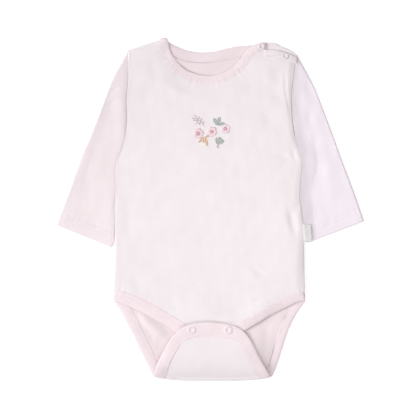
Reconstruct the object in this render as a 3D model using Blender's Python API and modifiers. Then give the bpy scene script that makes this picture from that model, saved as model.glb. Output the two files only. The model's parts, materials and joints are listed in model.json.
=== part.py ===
"""Long-sleeve baby bodysuit in cotton jersey, laid flat on its back with the front up.

The garment lies on z = 0 with its neck towards +Y. Left and right are the wearer's, so the right
sleeve is at -X. Every piece of cloth is a wall of its own, and the pieces stand SEAM apart where they
are sewn. The back panel runs down to the bottom fold, turns over there, and comes back up over the
front as the crotch flap. Sizes are in millimetres and become metres when a mesh is made.
"""

import math
from collections import namedtuple

import bmesh
import bpy
from mathutils import Vector

MM = 0.001

# Cloth and gaps
CLOTH = 1.0  # wall of jersey
TAPE = 1.8  # binding or neckband, folded tape with the edge inside it
SEAM = 0.3  # between sewn pieces
CHORD = 0.25  # more, where a curved seam is crossed by the straight sides of two meshes
FLOOR_MID = CLOTH / 2  # middle of a wall that lies on the table
TAPE_FLOOR_MID = TAPE / 2

# Heights of the front panel's middle surface
FRONT_LOW = CLOTH + SEAM + CLOTH / 2  # along the side seams
FRONT_HIGH = 5.1  # over the belly and chest
ARMHOLE_MID = 3.5  # halfway down the armhole seams
SHOULDER_LAP = 3.5  # along the lapped left shoulder
HIP_MID = 3.2  # at the hip corners, where two bindings lie on each other
TAB_MID = 3.4  # on the crotch tab, beneath the flap
SIDE_ROLL = 17.0  # how far in from a side seam the front stops rising
SHOULDER_ROLL = 13.0  # the same below a shoulder
RIGHT_ROUNDNESS = 1.6  # of the roll at the sewn shoulder
LEFT_ROUNDNESS = 1.15  # of the roll at the lapped one
ARMHOLE_FULLNESS = 0.7
ARMHOLE_TOP_Y = 174.0
HIP_RISE = (-101.0, 26.0)  # from this y, over this length, the side seams sink from the hips
SHOULDER_FROM = (50.0, 12.0)  # from this far either side of the middle, over this width
SHOULDER_Y = 150.0  # above this the shoulders lower the front
TAB_HALF = 50.0
TAB_Y = -114.0
TAB_EASE = 16.0

# Bottom fold and flap
FOLD_TOP = 8.0  # middle surface just above the fold
FLAP_LOW = 5.9  # middle surface of the flap where it is snapped to the front
FOLD_RADIUS = (FOLD_TOP - FLOOR_MID) / 2
FOLD_LINE = -187.9  # where the back leaves the table, at the middle
FOLD_LIFT = 5.6  # how much higher that line is at the fold's ends
FOLD_HALF = 68.0
FOLD_MIDDLE_X = 3.0
FLAP_SIDES = 28.0  # length of the flap's straight sides, above the fold
FLAP_SETTLE = (4.0, 36.0)  # from this far above the fold line, over this length, the flap sinks
FOLD_TAPE_WIDTH = 12.0

# Sleeves
SLEEVE_HIGH = 5.2  # middle surface of a sleeve's upper wall
SLEEVE_ROLL = 14.0
SLEEVE_CURL = 1.2  # radius with which the lower wall turns up into the upper one
SLEEVE_BLEND = 0.22  # share of the length in which the sleeve leaves the armhole's curve
SLEEVE_RISE = 0.16  # share of the length in which it rises from the armhole's height
ARMHOLE_PART = SEAM + 2 * CHORD  # between the body and the sleeve along the armhole
SLEEVE_PART = 0.5  # more, between the body's side and the sleeve beside it
SLEEVE_PART_BY = 0.1  # share of the length by which that is reached
CUFF_PART = 1.6  # more again, at the cuff's inner corner
CUFF_PART_FROM = 0.6  # share of the length from which it grows

# Strips
NECK_WIDTH = 10.0
BACK_NECK_WIDTH = 12.6
PLACKET_WIDTH = 8.0
PLACKET_CLOTH = 1.0
PLACKET_CLEAR = 0.1  # more than a seam's gap, over the shoulder's curve
PLACKET_LIFT = CLOTH / 2 + SEAM + PLACKET_CLEAR + PLACKET_CLOTH / 2  # above the front's middle surface
PLACKET_TAPER = 0.8  # width at the arm's end, as a share of that at the neck's end
PLACKET_ACROSS = (0.0, 0.33, 0.67, 1.0)  # shares of the width
PLACKET_STEPS = 9

# Snaps and label
Snap = namedtuple("Snap", "name on x y radius hole")
SNAPS = [
    Snap("crotch_snap_right", "flap", -20.7, -134.4, 4.7, 2.3),
    Snap("crotch_snap_left", "flap", 20.2, -134.4, 4.7, 2.3),
    Snap("shoulder_snap_neck", "band", 57.6, 182.6, 3.7, 1.7),
    Snap("shoulder_snap_arm", "placket", 84.0, 171.6, 3.7, 1.7),
]
SNAP_HEIGHT = 1.3
SNAP_CLEAR = 0.15  # more than a seam's gap, over the seat's curve
SNAP_STEPS = 16
SNAP_PROFILE = [  # share of the way from the hole to the rim, share of the height
    (0.0, 0.0),
    (0.0, 0.45),
    (0.2, 0.9),
    (0.5, 1.0),
    (0.8, 0.9),
    (1.0, 0.45),
    (1.0, 0.0),
]
LABEL_CLOTH = 0.8
LABEL_WIDTH = 7.6
LABEL_TOP = -16.0
LABEL_BOTTOM = -36.0
LABEL_START = 0.5  # more than a seam's gap, from the side seam
LABEL_CLEAR = 0.15  # more than a seam's gap, over the sleeve's curve
LABEL_STEPS = (5, 4)  # along the seam, out from it

# The body's outline between its side seams and armholes
Side = namedtuple("Side", "y left right")
BODY_SIDES = [
    Side(200.0, -92.6, 99.9),
    Side(177.5, -92.4, 99.8),
    Side(171.9, -92.0, 99.6),
    Side(165.0, -91.7, 96.8),
    Side(150.0, -91.4, 94.0),
    Side(135.0, -92.4, 92.0),
    Side(120.0, -93.4, 91.2),
    Side(105.0, -92.8, 91.9),
    Side(90.0, -93.4, 93.6),
    Side(78.0, -95.8, 96.0),
    Side(66.0, -98.9, 99.9),
    Side(55.0, -103.8, 103.0),
    Side(45.0, -105.7, 102.6),
    Side(30.0, -105.4, 101.0),
    Side(15.0, -106.2, 100.2),
    Side(0.0, -106.8, 102.3),
    Side(-15.0, -106.8, 104.2),
    Side(-30.0, -105.5, 105.3),
    Side(-45.0, -106.9, 106.0),
    Side(-60.0, -107.4, 106.1),
    Side(-80.0, -108.0, 106.3),
    Side(-101.4, -108.6, 107.2),
    Side(-140.0, -108.8, 107.4),
    Side(-170.0, -108.8, 107.4),
]
UNDERARM_Y = 54.0
HIP_Y = -88.6  # where the bindings' seams meet the side seams
HIP_PART = 0.4  # more gap where the back's seam turns from the side into the leg
HIP_INSET = 0.6  # of the back binding's end from the side seam

# Edges, from the wearer's right to the left. Width is that of the strip sewn along the edge.
Edge = namedtuple("Edge", "x y width")
NECK_EDGE = [
    Edge(-47.6, 192.1, 8.4),
    Edge(-46.3, 184.2, 9.4),
    Edge(-42.2, 173.4, NECK_WIDTH),
    Edge(-36.0, 164.6, NECK_WIDTH),
    Edge(-27.0, 157.0, NECK_WIDTH),
    Edge(-14.0, 151.6, NECK_WIDTH),
    Edge(0.0, 150.2, NECK_WIDTH),
    Edge(12.0, 152.4, NECK_WIDTH),
    Edge(22.4, 157.6, NECK_WIDTH),
    Edge(31.5, 165.4, NECK_WIDTH),
    Edge(38.0, 174.4, NECK_WIDTH),
    Edge(45.0, 181.8, 9.4),
    Edge(53.0, 186.0, 8.4),
    Edge(61.5, 187.2, 7.6),
]
BACK_NECK_EDGE = [
    Edge(-48.0, 190.6, 8.4),
    Edge(-46.4, 187.8, 9.6),
    Edge(-39.0, 183.9, BACK_NECK_WIDTH),
    Edge(-26.0, 178.6, BACK_NECK_WIDTH),
    Edge(-11.0, 176.2, BACK_NECK_WIDTH),
    Edge(4.0, 177.4, BACK_NECK_WIDTH),
    Edge(18.0, 180.6, BACK_NECK_WIDTH),
    Edge(34.0, 183.4, BACK_NECK_WIDTH),
    Edge(50.0, 184.8, 11.0),
]
FRONT_LEG_EDGE = [
    Edge(-109.2, -101.4, 13.6),
    Edge(-94.0, -107.4, 14.0),
    Edge(-76.0, -115.4, 14.0),
    Edge(-57.0, -126.0, 14.0),
    Edge(-38.0, -137.6, 14.0),
    Edge(-24.0, -147.0, 13.0),
    Edge(0.0, -152.4, 12.0),
    Edge(24.0, -146.8, 12.0),
    Edge(38.0, -136.4, 11.0),
    Edge(58.0, -124.6, 10.4),
    Edge(78.0, -113.4, 10.4),
    Edge(94.0, -105.6, 10.4),
    Edge(106.8, -102.0, 11.0),
]
BACK_LEG_RIGHT = [
    Edge(-108.2, -102.4, 12.3),
    Edge(-95.2, -123.8, 12.3),
    Edge(-84.0, -146.2, 12.3),
    Edge(-73.4, -168.6, 12.3),
]
BACK_LEG_LEFT = [
    Edge(106.6, -102.6, 12.3),
    Edge(93.0, -123.8, 12.3),
    Edge(84.0, -146.2, 12.3),
    Edge(77.0, -168.6, 12.3),
]
FLAP_EDGE = [
    Edge(-58.4, -172.0, 12.0),
    Edge(-49.6, -154.0, 12.0),
    Edge(-38.0, -137.4, 13.0),
    Edge(-22.4, -128.8, 15.2),
    Edge(-4.0, -126.2, 16.0),
    Edge(16.0, -127.4, 16.0),
    Edge(30.4, -131.2, 15.0),
    Edge(41.6, -140.0, 13.0),
    Edge(50.6, -156.0, 12.0),
    Edge(59.6, -173.2, 12.0),
]
FOLD_ENDS = (-65.0, 70.6)  # outer edges of the tape at the bottom fold

# Shoulder lines, from the armhole to the neckband's seam
Point = namedtuple("Point", "x y")
RIGHT_SHOULDER = [
    Point(-92.4, 177.5),
    Point(-78.4, 182.6),
    Point(-67.2, 186.2),
    Point(-58.2, 188.9),
]
LEFT_SHOULDER_FRONT = [
    Point(63.0, 178.6),
    Point(72.0, 178.8),
    Point(82.0, 176.4),
    Point(91.0, 173.4),
    Point(99.6, 168.6),
]
LEFT_SHOULDER_BACK = [
    Point(54.6, 187.0),
    Point(60.6, 187.2),
    Point(70.6, 187.0),
    Point(80.6, 182.6),
    Point(91.2, 178.0),
    Point(99.7, 171.4),
]
PLACKET_ENDS = (66.0, 91.0)  # the lapped stretch of the left shoulder, by x
UNDERLAP = 4.5  # how far the back's placket reaches under the front's edge

# Outer edges of the sleeves, from the shoulder to the cuff
RIGHT_SLEEVE = [
    Point(-94.2, 176.6),
    Point(-107.5, 150.6),
    Point(-120.6, 116.0),
    Point(-131.4, 88.4),
    Point(-145.6, 55.4),
    Point(-157.4, 22.6),
    Point(-172.5, -16.4),
]
LEFT_SLEEVE = [
    Point(101.6, 170.2),
    Point(112.0, 148.4),
    Point(123.4, 120.6),
    Point(135.5, 89.0),
    Point(147.8, 55.4),
    Point(160.4, 22.6),
    Point(172.5, -12.2),
]
CUFF_INNER_Y = (-41.6, -36.6)  # right sleeve, left sleeve

# Largest folds: a soft trough (depth > 0) or ridge (depth < 0) from one end to the other
Fold = namedtuple("Fold", "x0 y0 x1 y1 width depth")
FRONT_FOLDS = [
    Fold(84.0, 158.0, 87.0, 112.0, 4.5, 1.0),  # inside the left armhole
    Fold(66.0, 134.0, 88.0, 92.0, 9.0, 0.7),  # chest to the left underarm
    Fold(86.0, 6.0, 97.0, -18.0, 7.0, 0.8),  # left of the waist
    Fold(44.0, -62.0, 66.0, -76.0, 5.0, 0.7),  # above the left hip
    Fold(44.0, -104.0, 60.0, -98.0, 6.0, 0.6),  # towards the left leg
    Fold(-46.0, 142.0, -12.0, 132.0, 8.0, 0.6),  # beneath the neckband
    Fold(-86.0, 20.0, -92.0, -40.0, 9.0, 0.5),  # right of the waist
    Fold(-30.0, -106.0, 26.0, -110.0, 12.0, -0.3),  # swell above the flap
]
RIGHT_SLEEVE_FOLDS = [
    Fold(-118.0, 112.0, -146.0, 4.0, 10.0, 1.2),
    Fold(-98.0, 132.0, -99.0, 84.0, 4.0, 0.9),
    Fold(-124.0, 60.0, -120.0, -24.0, 9.0, -0.25),
]
LEFT_SLEEVE_FOLDS = [
    Fold(101.0, 150.0, 108.0, 84.0, 5.0, 0.9),
    Fold(112.0, 84.0, 112.0, 6.0, 8.0, 1.5),
    Fold(132.0, 70.0, 146.0, 4.0, 10.0, -0.25),
]

# Broad swells of the front's height, negative for hollows
Swell = namedtuple("Swell", "x y reach_x reach_y height")
FRONT_SWELLS = [
    Swell(-2.0, 152.0, 50.0, 16.0, -0.7),  # the neckline sinks a little
    Swell(-62.0, -118.0, 30.0, 16.0, -1.5),  # the right leg's edge lies low
    Swell(58.0, -118.0, 17.0, 16.0, 1.6),  # the left leg's edge stands open
]

# Mesh counts
FRONT_TOP_STEPS = (7, 17)  # along a shoulder, along the neck
FRONT_ROWS = 29
FRONT_CROWDING = 0.3  # how much closer the rows lie towards the top and bottom
SEAM_STEPS = 60
BACK_TOP_STEPS = (6, 11)
BACK_ROWS = 13
SEAT_ROWS = 9
FOLD_ROWS = 7
FLAP_ROWS = 6
NECKBAND_STEPS = (32, 22)  # front, back
FRONT_BINDING_STEPS = 44
BACK_BINDING_STEPS = 88
SLEEVE_LENGTHS = 14
SLEEVE_TOP_STEPS = 12
SLEEVE_BOTTOM_STEPS = 7
SLEEVE_CROWDING = 0.6  # how much closer the points lie towards the sleeve's edges
SHOULDER_CROWDING = 1.5  # how much closer the columns lie towards the armholes
SEAT_CROWDING = 1.3  # how much closer the back's rows lie below the hips

# Cross-section of a tape: share of the width from the free edge, and share of half the thickness
TAPE_SECTION = [
    (0.0, 0.0),
    (0.08, 0.85),
    (0.4, 1.0),
    (1.0, 0.85),
    (1.0, -0.85),
    (0.4, -1.0),
    (0.08, -0.85),
]

Look = namedtuple("Look", "colour roughness metallic")
JERSEY = Look((0.92, 0.80, 0.84), 0.9, 0.0)
SLEEVE_JERSEY = Look((0.90, 0.79, 0.85), 0.9, 0.0)
RIB = Look((0.93, 0.74, 0.79), 0.9, 0.0)
SNAP_METAL = Look((0.86, 0.76, 0.79), 0.4, 0.1)
SATIN = Look((0.94, 0.93, 0.92), 0.6, 0.0)


# ---------------------------------------------------------------- curves


def mix(a, b, t):
    return a + (b - a) * t


def eased(t):
    """0 to 1 with level ends."""
    t = min(max(t, 0.0), 1.0)
    return t * t * (3.0 - 2.0 * t)


def rise(distance, reach, roundness=2.0):
    """0 at an edge and 1 at reach from it, along a rounded quarter."""
    inside = 1.0 - min(max(distance / reach, 0.0), 1.0)
    return (1.0 - inside**roundness) ** (1.0 / roundness)


def hermite(a, b, slope_a, slope_b, t):
    t2, t3 = t * t, t * t * t
    return (
        (2 * t3 - 3 * t2 + 1) * a
        + (t3 - 2 * t2 + t) * slope_a
        + (3 * t2 - 2 * t3) * b
        + (t3 - t2) * slope_b
    )


def read(keys, values, at):
    """The value at a key, on a smooth curve that doesn't overshoot its points. Keys rise."""
    if at <= keys[0]:
        return values[0]
    if at >= keys[-1]:
        return values[-1]
    i = next(n for n in range(len(keys) - 1) if at <= keys[n + 1])
    steps = [
        (values[n + 1] - values[n]) / (keys[n + 1] - keys[n])
        for n in range(max(i - 1, 0), min(i + 2, len(keys) - 1))
    ]
    here = steps[1] if i > 0 else steps[0]
    before = steps[0]
    after = steps[-1]
    start = 0.0 if before * here <= 0 else 2 * before * here / (before + here)
    end = 0.0 if after * here <= 0 else 2 * after * here / (after + here)
    span = keys[i + 1] - keys[i]
    return hermite(values[i], values[i + 1], start * span, end * span, (at - keys[i]) / span)


def evenly(points, shares):
    """Points at the given shares of a chain's length."""
    lengths = [0.0]
    for a, b in zip(points, points[1:]):
        lengths.append(lengths[-1] + math.dist(a[:2], b[:2]))
    found = []
    at = 0
    for share in shares:
        want = lengths[-1] * share
        while at < len(points) - 2 and lengths[at + 1] < want:
            at += 1
        t = (want - lengths[at]) / max(lengths[at + 1] - lengths[at], 1e-9)
        found.append(tuple(mix(a, b, t) for a, b in zip(points[at], points[at + 1])))
    return found


def curve_through(points, count):
    """Points evenly along a smooth curve through the given ones, each a tuple of numbers."""
    dense = []
    ends = [points[0]] + list(points) + [points[-1]]
    for a, b, c, d in zip(ends, ends[1:], ends[2:], ends[3:]):
        for step in range(12):
            t = step / 12
            dense.append(
                tuple(
                    hermite(q, r, (r - p) / 2, (s - q) / 2, t)
                    for p, q, r, s in zip(a, b, c, d)
                )
            )
    dense.append(tuple(points[-1]))
    return evenly(dense, [n / count for n in range(count + 1)])


def inner_edge(edge, side, less=0.0):
    """The edge moved by each point's width, less a little: side is 1 for its left, -1 for its right."""
    moved = []
    for n, (x, y, width) in enumerate(edge):
        ax, ay = edge[max(n - 1, 0)][:2]
        bx, by = edge[min(n + 1, len(edge) - 1)][:2]
        length = math.dist((ax, ay), (bx, by))
        reach = side * (width - less)
        moved.append((x - reach * (by - ay) / length, y + reach * (bx - ax) / length))
    return moved


# ---------------------------------------------------------------- the lie of the body

SIDE_KEYS = [-side.y for side in BODY_SIDES]
LEFTS = [side.left for side in BODY_SIDES]
RIGHTS = [side.right for side in BODY_SIDES]


def body_side(y, side):
    """x of the side seam or armhole seam at a height on the body. side is -1 or 1."""
    return read(SIDE_KEYS, LEFTS if side < 0 else RIGHTS, -y)


def share_across(x, y):
    left = body_side(y, -1)
    return (x - left) / (body_side(y, 1) - left)


def fold_sum(folds, x, y):
    """How much the folds take from the height at a point."""
    total = 0.0
    for fold in folds:
        dx, dy = fold.x1 - fold.x0, fold.y1 - fold.y0
        length = math.hypot(dx, dy)
        along = ((x - fold.x0) * dx + (y - fold.y0) * dy) / length
        across = ((x - fold.x0) * dy - (y - fold.y0) * dx) / length
        taper = eased((along + fold.width) / fold.width) * eased((length + fold.width - along) / fold.width)
        total += fold.depth * taper * math.exp(-((across / fold.width) ** 2))
    return total


def armhole_height(y):
    """Middle height of the front along its side: low at the side seam, higher in the armhole."""
    if y < UNDERARM_Y:
        start, over = HIP_RISE
        return mix(HIP_MID, FRONT_LOW, eased((y - start) / over))
    up = min((y - UNDERARM_Y) / (ARMHOLE_TOP_Y - UNDERARM_Y), 1.0)
    return FRONT_LOW + (ARMHOLE_MID - FRONT_LOW) * math.sin(math.pi * up) ** ARMHOLE_FULLNESS


def along(points, x):
    """y at x on a smooth line through points."""
    return read([point.x for point in points], [point.y for point in points], x)


def shoulder_line(x):
    """y of the front's shoulder edge at x."""
    return along(RIGHT_SHOULDER if x < 0 else LEFT_SHOULDER_FRONT, x)


def swell_sum(swells, x, y):
    """How much the swells add to the height at a point."""
    total = 0.0
    for swell in swells:
        away = ((x - swell.x) / swell.reach_x) ** 2 + ((y - swell.y) / swell.reach_y) ** 2
        total += swell.height * math.exp(-away)
    return total


def front_mid(x, y):
    """Height of the front panel's middle surface."""
    left = rise(x - body_side(y, -1), SIDE_ROLL)
    right = rise(body_side(y, 1) - x, SIDE_ROLL)
    low = armhole_height(y)
    height = low + (FRONT_HIGH - low) * left * right
    if x < 0:
        lap, roundness = FRONT_LOW, RIGHT_ROUNDNESS
    else:
        lap, roundness = SHOULDER_LAP, LEFT_ROUNDNESS
    if y > SHOULDER_Y:
        from_middle, over = SHOULDER_FROM
        top = rise(shoulder_line(x) - y, SHOULDER_ROLL, roundness)
        lowered = min(height, mix(lap, height, top))
        height = mix(height, lowered, eased((abs(x) - from_middle) / over))
    height += swell_sum(FRONT_SWELLS, x, y)
    tab = eased((TAB_HALF - abs(x)) / TAB_EASE) * eased((TAB_Y - y) / TAB_EASE)
    height = mix(height, TAB_MID, tab)
    return height - fold_sum(FRONT_FOLDS, x, y) * min(left, right) * (1.0 - tab)


def fold_start(x):
    """y at which the back leaves the table to turn over."""
    return FOLD_LINE + FOLD_LIFT * min(abs(x - FOLD_MIDDLE_X) / FOLD_HALF, 1.0) ** 4


def flap_mid(y):
    """Height of the flap's middle surface above the fold."""
    start, over = FLAP_SETTLE
    return mix(FOLD_TOP, FLAP_LOW, eased((y - FOLD_LINE - start) / over))


def length_below(x, y):
    """Developed length of the cloth from the fold line to a point on the back, negative above it."""
    return fold_start(x) - y


def length_above(x, y):
    """The same to a point on the flap."""
    return math.pi * FOLD_RADIUS + y - fold_start(x)


def back_point(x, length, floor_mid=FLOOR_MID):
    """Where a point of the back's developed cloth lies: on the table, round the fold or on the flap."""
    start = fold_start(x)
    turn = math.pi * FOLD_RADIUS
    if length <= 0.0:
        return (x, start - length, floor_mid)
    if length >= turn:
        y = start + length - turn
        return (x, y, flap_mid(y))
    angle = length / FOLD_RADIUS
    radius = (FOLD_TOP - floor_mid) / 2
    y = start - FOLD_RADIUS * math.sin(angle)
    return (x, y, floor_mid + radius * (1.0 - math.cos(angle)))


# ---------------------------------------------------------------- meshes


def grid_mesh(name, rows):
    """An open surface through rows of points of equal length."""
    mesh = bpy.data.meshes.new(name)
    build = bmesh.new()
    verts = [[build.verts.new([value * MM for value in point]) for point in row] for row in rows]
    for lower, upper in zip(verts, verts[1:]):
        for a, b, c, d in zip(lower, lower[1:], upper[1:], upper):
            build.faces.new((a, b, c, d))
    build.normal_update()
    build.to_mesh(mesh)
    build.free()
    return mesh


def ring_mesh(name, rings, capped):
    """A surface through closed rings of points of equal length, with its ends capped or open."""
    mesh = bpy.data.meshes.new(name)
    build = bmesh.new()
    verts = [[build.verts.new([value * MM for value in point]) for point in ring] for ring in rings]
    for first, second in zip(verts, verts[1:]):
        for n in range(len(first)):
            after = (n + 1) % len(first)
            build.faces.new((first[n], first[after], second[after], second[n]))
    if capped:
        build.faces.new(list(reversed(verts[0])))
        build.faces.new(verts[-1])
    bmesh.ops.recalc_face_normals(build, faces=build.faces)
    build.to_mesh(mesh)
    build.free()
    return mesh


def material_for(name, look):
    material = bpy.data.materials.new(name)
    material.use_nodes = True
    shader = material.node_tree.nodes["Principled BSDF"]
    shader.inputs["Base Color"].default_value = (*look.colour, 1.0)
    shader.inputs["Roughness"].default_value = look.roughness
    shader.inputs["Metallic"].default_value = look.metallic
    material.diffuse_color = (*look.colour, 1.0)
    return material


def add_piece(collection, name, mesh, look):
    mesh.materials.append(material_for(name + "_material", look))
    mesh.shade_smooth()
    mesh.set_sharp_from_angle(angle=math.radians(50))
    piece = bpy.data.objects.new(name, mesh)
    collection.objects.link(piece)
    return piece


def thicken(piece, thickness, even=True):
    wall = piece.modifiers.new("wall", "SOLIDIFY")
    wall.thickness = thickness * MM
    wall.offset = 0.0
    wall.use_even_offset = even


def tape_rings(outer, inner, mid, thickness=TAPE):
    """Rings of a tape between its free edge and its seam. mid places a point's middle height."""
    rings = []
    for a, b in zip(outer, inner):
        ring = []
        for across, up in TAPE_SECTION:
            x, y = mix(a[0], b[0], across), mix(a[1], b[1], across)
            ring.append((x, y, mid(x, y) + up * thickness / 2))
        rings.append(ring)
    return rings


# ---------------------------------------------------------------- body panels


def spread(count, crowding):
    """Shares from 0 to 1, closer together towards both ends."""
    shares = []
    for n in range(count + 1):
        t = n / count
        shares.append(mix(t, 0.5 - 0.5 * math.cos(math.pi * t), crowding))
    return shares


def top_points(right_shoulder, neck, left_shoulder, shoulder_steps, neck_steps):
    """Points along a panel's top edge, closer together at the armholes, with one on each corner."""
    crowded = [(n / shoulder_steps) ** SHOULDER_CROWDING for n in range(shoulder_steps + 1)]
    even = [n / neck_steps for n in range(neck_steps + 1)]
    right = evenly([tuple(p) for p in right_shoulder], crowded)
    left = evenly([tuple(p) for p in reversed(left_shoulder)], crowded)
    return right + evenly(neck, even) + left[::-1]


def edge_at_share(edge):
    """A function from the share across the body to y along an edge."""
    pairs = sorted((share_across(x, y), y) for x, y in edge)
    keys = [pair[0] for pair in pairs]
    values = [pair[1] for pair in pairs]
    return lambda share: read(keys, values, share)


def front_columns():
    """(share across the body, y of the top edge) of each column of the front."""
    neck = inner_edge(curve_through(NECK_EDGE, SEAM_STEPS), -1)
    top = top_points(RIGHT_SHOULDER, neck[1:-1], LEFT_SHOULDER_FRONT, *FRONT_TOP_STEPS)
    return [(min(max(share_across(x, y), 0.0), 1.0), y) for x, y in top]


def add_front_panel(collection):
    bottom = edge_at_share(inner_edge(curve_through(FRONT_LEG_EDGE, SEAM_STEPS), 1))
    columns = front_columns()
    rows = []
    for v in spread(FRONT_ROWS, FRONT_CROWDING):
        row = []
        for share, top in columns:
            y = mix(bottom(share) + SEAM + CHORD, top, v)
            left, right = body_side(y, -1), body_side(y, 1)
            x = mix(left + CLOTH / 2, right - CLOTH / 2, share)
            row.append((x, y, front_mid(x, y)))
        rows.append(row)
    piece = add_piece(collection, "front_panel", grid_mesh("front_panel", rows), JERSEY)
    thicken(piece, CLOTH)


def back_edge():
    """The back's free edge on the developed cloth, from the right hip round the flap to the left hip."""
    points = []
    turn = math.pi * FOLD_RADIUS
    for x, y, width in BACK_LEG_RIGHT:
        points.append((x, length_below(x, y), width))
    points.append((FOLD_ENDS[0], turn / 4, FOLD_TAPE_WIDTH))
    for x, y, width in FLAP_EDGE:
        points.append((x, length_above(x, y), width))
    points.append((FOLD_ENDS[1], turn / 4, FOLD_TAPE_WIDTH))
    for x, y, width in reversed(BACK_LEG_LEFT):
        points.append((x, length_below(x, y), width))
    return curve_through(points, BACK_BINDING_STEPS)


def back_seam(edge, less=0.0):
    """The inner edge of the back's binding, squared off at the side seams."""
    seam = inner_edge(edge, -1, less)
    for end, side in ((0, -1), (-1, 1)):
        y = HIP_Y - less
        x = body_side(y, side) - side * HIP_INSET
        seam[end] = (x, length_below(x, y))
    return seam


def back_seam_sides():
    """Functions from developed length to x of the back panel's two sides, and from x to the flap's top."""
    seam = back_seam(back_edge(), -SEAM - CHORD)
    straight = math.pi * FOLD_RADIUS + FLAP_SIDES
    high = [n for n, point in enumerate(seam) if point[1] >= straight]
    first, last = high[0], high[-1]
    sides = []
    for side, run in ((-1, seam[: first + 1]), (1, seam[last:][::-1])):
        keys, values = [], []
        for body in BODY_SIDES:
            if body.y > HIP_Y:
                x = body.left + CLOTH / 2 if side < 0 else body.right - CLOTH / 2
                keys.append(length_below(x, body.y))
                values.append(x)
        (corner_x, corner_length), (next_x, next_length) = run[0], run[1]
        for share in (0.25, 0.5, 0.75):
            x = mix(corner_x, next_x, share) - side * HIP_PART
            run.append((x, mix(corner_length, next_length, share)))
        for x, length in sorted(run, key=lambda point: point[1]):
            if length > keys[-1] + 1.0:
                keys.append(length)
                values.append(x)
        sides.append((keys, values))
    return sides, seam[first : last + 1]


def add_back_panel(collection):
    ((left_keys, lefts), (right_keys, rights)), flap = back_seam_sides()

    def across(x, length):
        left = read(left_keys, lefts, length)
        return (x - left) / (read(right_keys, rights, length) - left)

    neck = inner_edge(curve_through(BACK_NECK_EDGE, SEAM_STEPS), -1, -SEAM)
    top = top_points(RIGHT_SHOULDER, neck[3:], LEFT_SHOULDER_BACK, *BACK_TOP_STEPS)
    flap_pairs = sorted((across(x, length), length) for x, length in flap)
    flap_keys = [pair[0] for pair in flap_pairs]
    flap_lengths = [pair[1] for pair in flap_pairs]
    turn = math.pi * FOLD_RADIUS
    columns = []
    for x, y in top:
        length = length_below(x, y)
        share = min(max(across(x, length), 0.0), 1.0)
        columns.append((share, length, read(flap_keys, flap_lengths, share)))
    hip = length_below(-FOLD_HALF, HIP_Y)
    stages = [(n / BACK_ROWS, 0) for n in range(BACK_ROWS)]
    stages += [((n / SEAT_ROWS) ** SEAT_CROWDING, 1) for n in range(SEAT_ROWS)]
    stages += [(n / FOLD_ROWS, 2) for n in range(FOLD_ROWS)]
    stages += [(n / FLAP_ROWS, 3) for n in range(FLAP_ROWS + 1)]
    rows = []
    for t, stage in stages:
        row = []
        for share, start, end in columns:
            stops = (start, hip, 0.0, turn, end)
            length = mix(stops[stage], stops[stage + 1], t)
            x = mix(read(left_keys, lefts, length), read(right_keys, rights, length), share)
            row.append(back_point(x, length))
        rows.append(row)
    piece = add_piece(collection, "back_panel", grid_mesh("back_panel", rows), JERSEY)
    thicken(piece, CLOTH)


# ---------------------------------------------------------------- strips


def band_mid(x, y):
    """Middle height of a tape along the front's edge: never lower than on the back's tape."""
    return max(front_mid(x, y), TAPE + SEAM + TAPE / 2)


def add_neckband(collection):
    front = curve_through(NECK_EDGE, NECKBAND_STEPS[0])
    rings = tape_rings(front, inner_edge(front, -1, SEAM + 2 * CHORD), band_mid)
    add_piece(collection, "neckband_front", ring_mesh("neckband_front", rings, True), RIB)
    back = curve_through(BACK_NECK_EDGE, NECKBAND_STEPS[1])
    rings = tape_rings(back, inner_edge(back, -1, 2 * CHORD), lambda x, y: TAPE_FLOOR_MID)
    add_piece(collection, "neckband_back", ring_mesh("neckband_back", rings, True), RIB)


def add_leg_bindings(collection):
    front = curve_through(FRONT_LEG_EDGE, FRONT_BINDING_STEPS)
    rings = tape_rings(front, inner_edge(front, 1), band_mid)
    add_piece(collection, "front_leg_binding", ring_mesh("front_leg_binding", rings, True), RIB)
    edge = back_edge()
    seam = back_seam(edge)
    rings = []
    for a, b in zip(edge, seam):
        ring = []
        for across, up in TAPE_SECTION:
            x, length = mix(a[0], b[0], across), mix(a[1], b[1], across)
            ring.append(offset_point(x, length, up * TAPE / 2))
        rings.append(ring)
    add_piece(collection, "back_leg_binding", ring_mesh("back_leg_binding", rings, True), RIB)


def offset_point(x, length, lift):
    """A point of the back's cloth moved out from its middle surface. lift > 0 is the garment's inside."""
    step = 0.05
    here = back_point(x, length, TAPE_FLOOR_MID)
    after = back_point(x, length + step, TAPE_FLOOR_MID)
    dy, dz = after[1] - here[1], after[2] - here[2]
    size = math.hypot(dy, dz)
    return (x, here[1] + lift * dz / size, here[2] - lift * dy / size)


def add_plackets(collection):
    """A strip along the front's left shoulder edge, and one on the back that lies under that edge."""
    low, high = PLACKET_ENDS
    under = CLOTH + SEAM + PLACKET_CLOTH / 2
    front_rows, back_rows = [], []
    for n in range(PLACKET_STEPS + 1):
        t = n / PLACKET_STEPS
        x = mix(low, high, t)
        edge = shoulder_line(x)
        top = along(LEFT_SHOULDER_BACK, x)
        width = PLACKET_WIDTH * mix(1.0, PLACKET_TAPER, t)
        front_row, back_row = [], []
        for across in PLACKET_ACROSS:
            y = edge - width * across
            front_row.append((x, y, front_mid(x, y) + PLACKET_LIFT))
            back_row.append((x, mix(top, edge - UNDERLAP, across), under))
        front_rows.append(front_row)
        back_rows.append(back_row)
    for name, rows in (("shoulder_placket_front", front_rows), ("shoulder_placket_back", back_rows)):
        thicken(add_piece(collection, name, grid_mesh(name, rows), JERSEY), PLACKET_CLOTH)


# ---------------------------------------------------------------- sleeves


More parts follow.
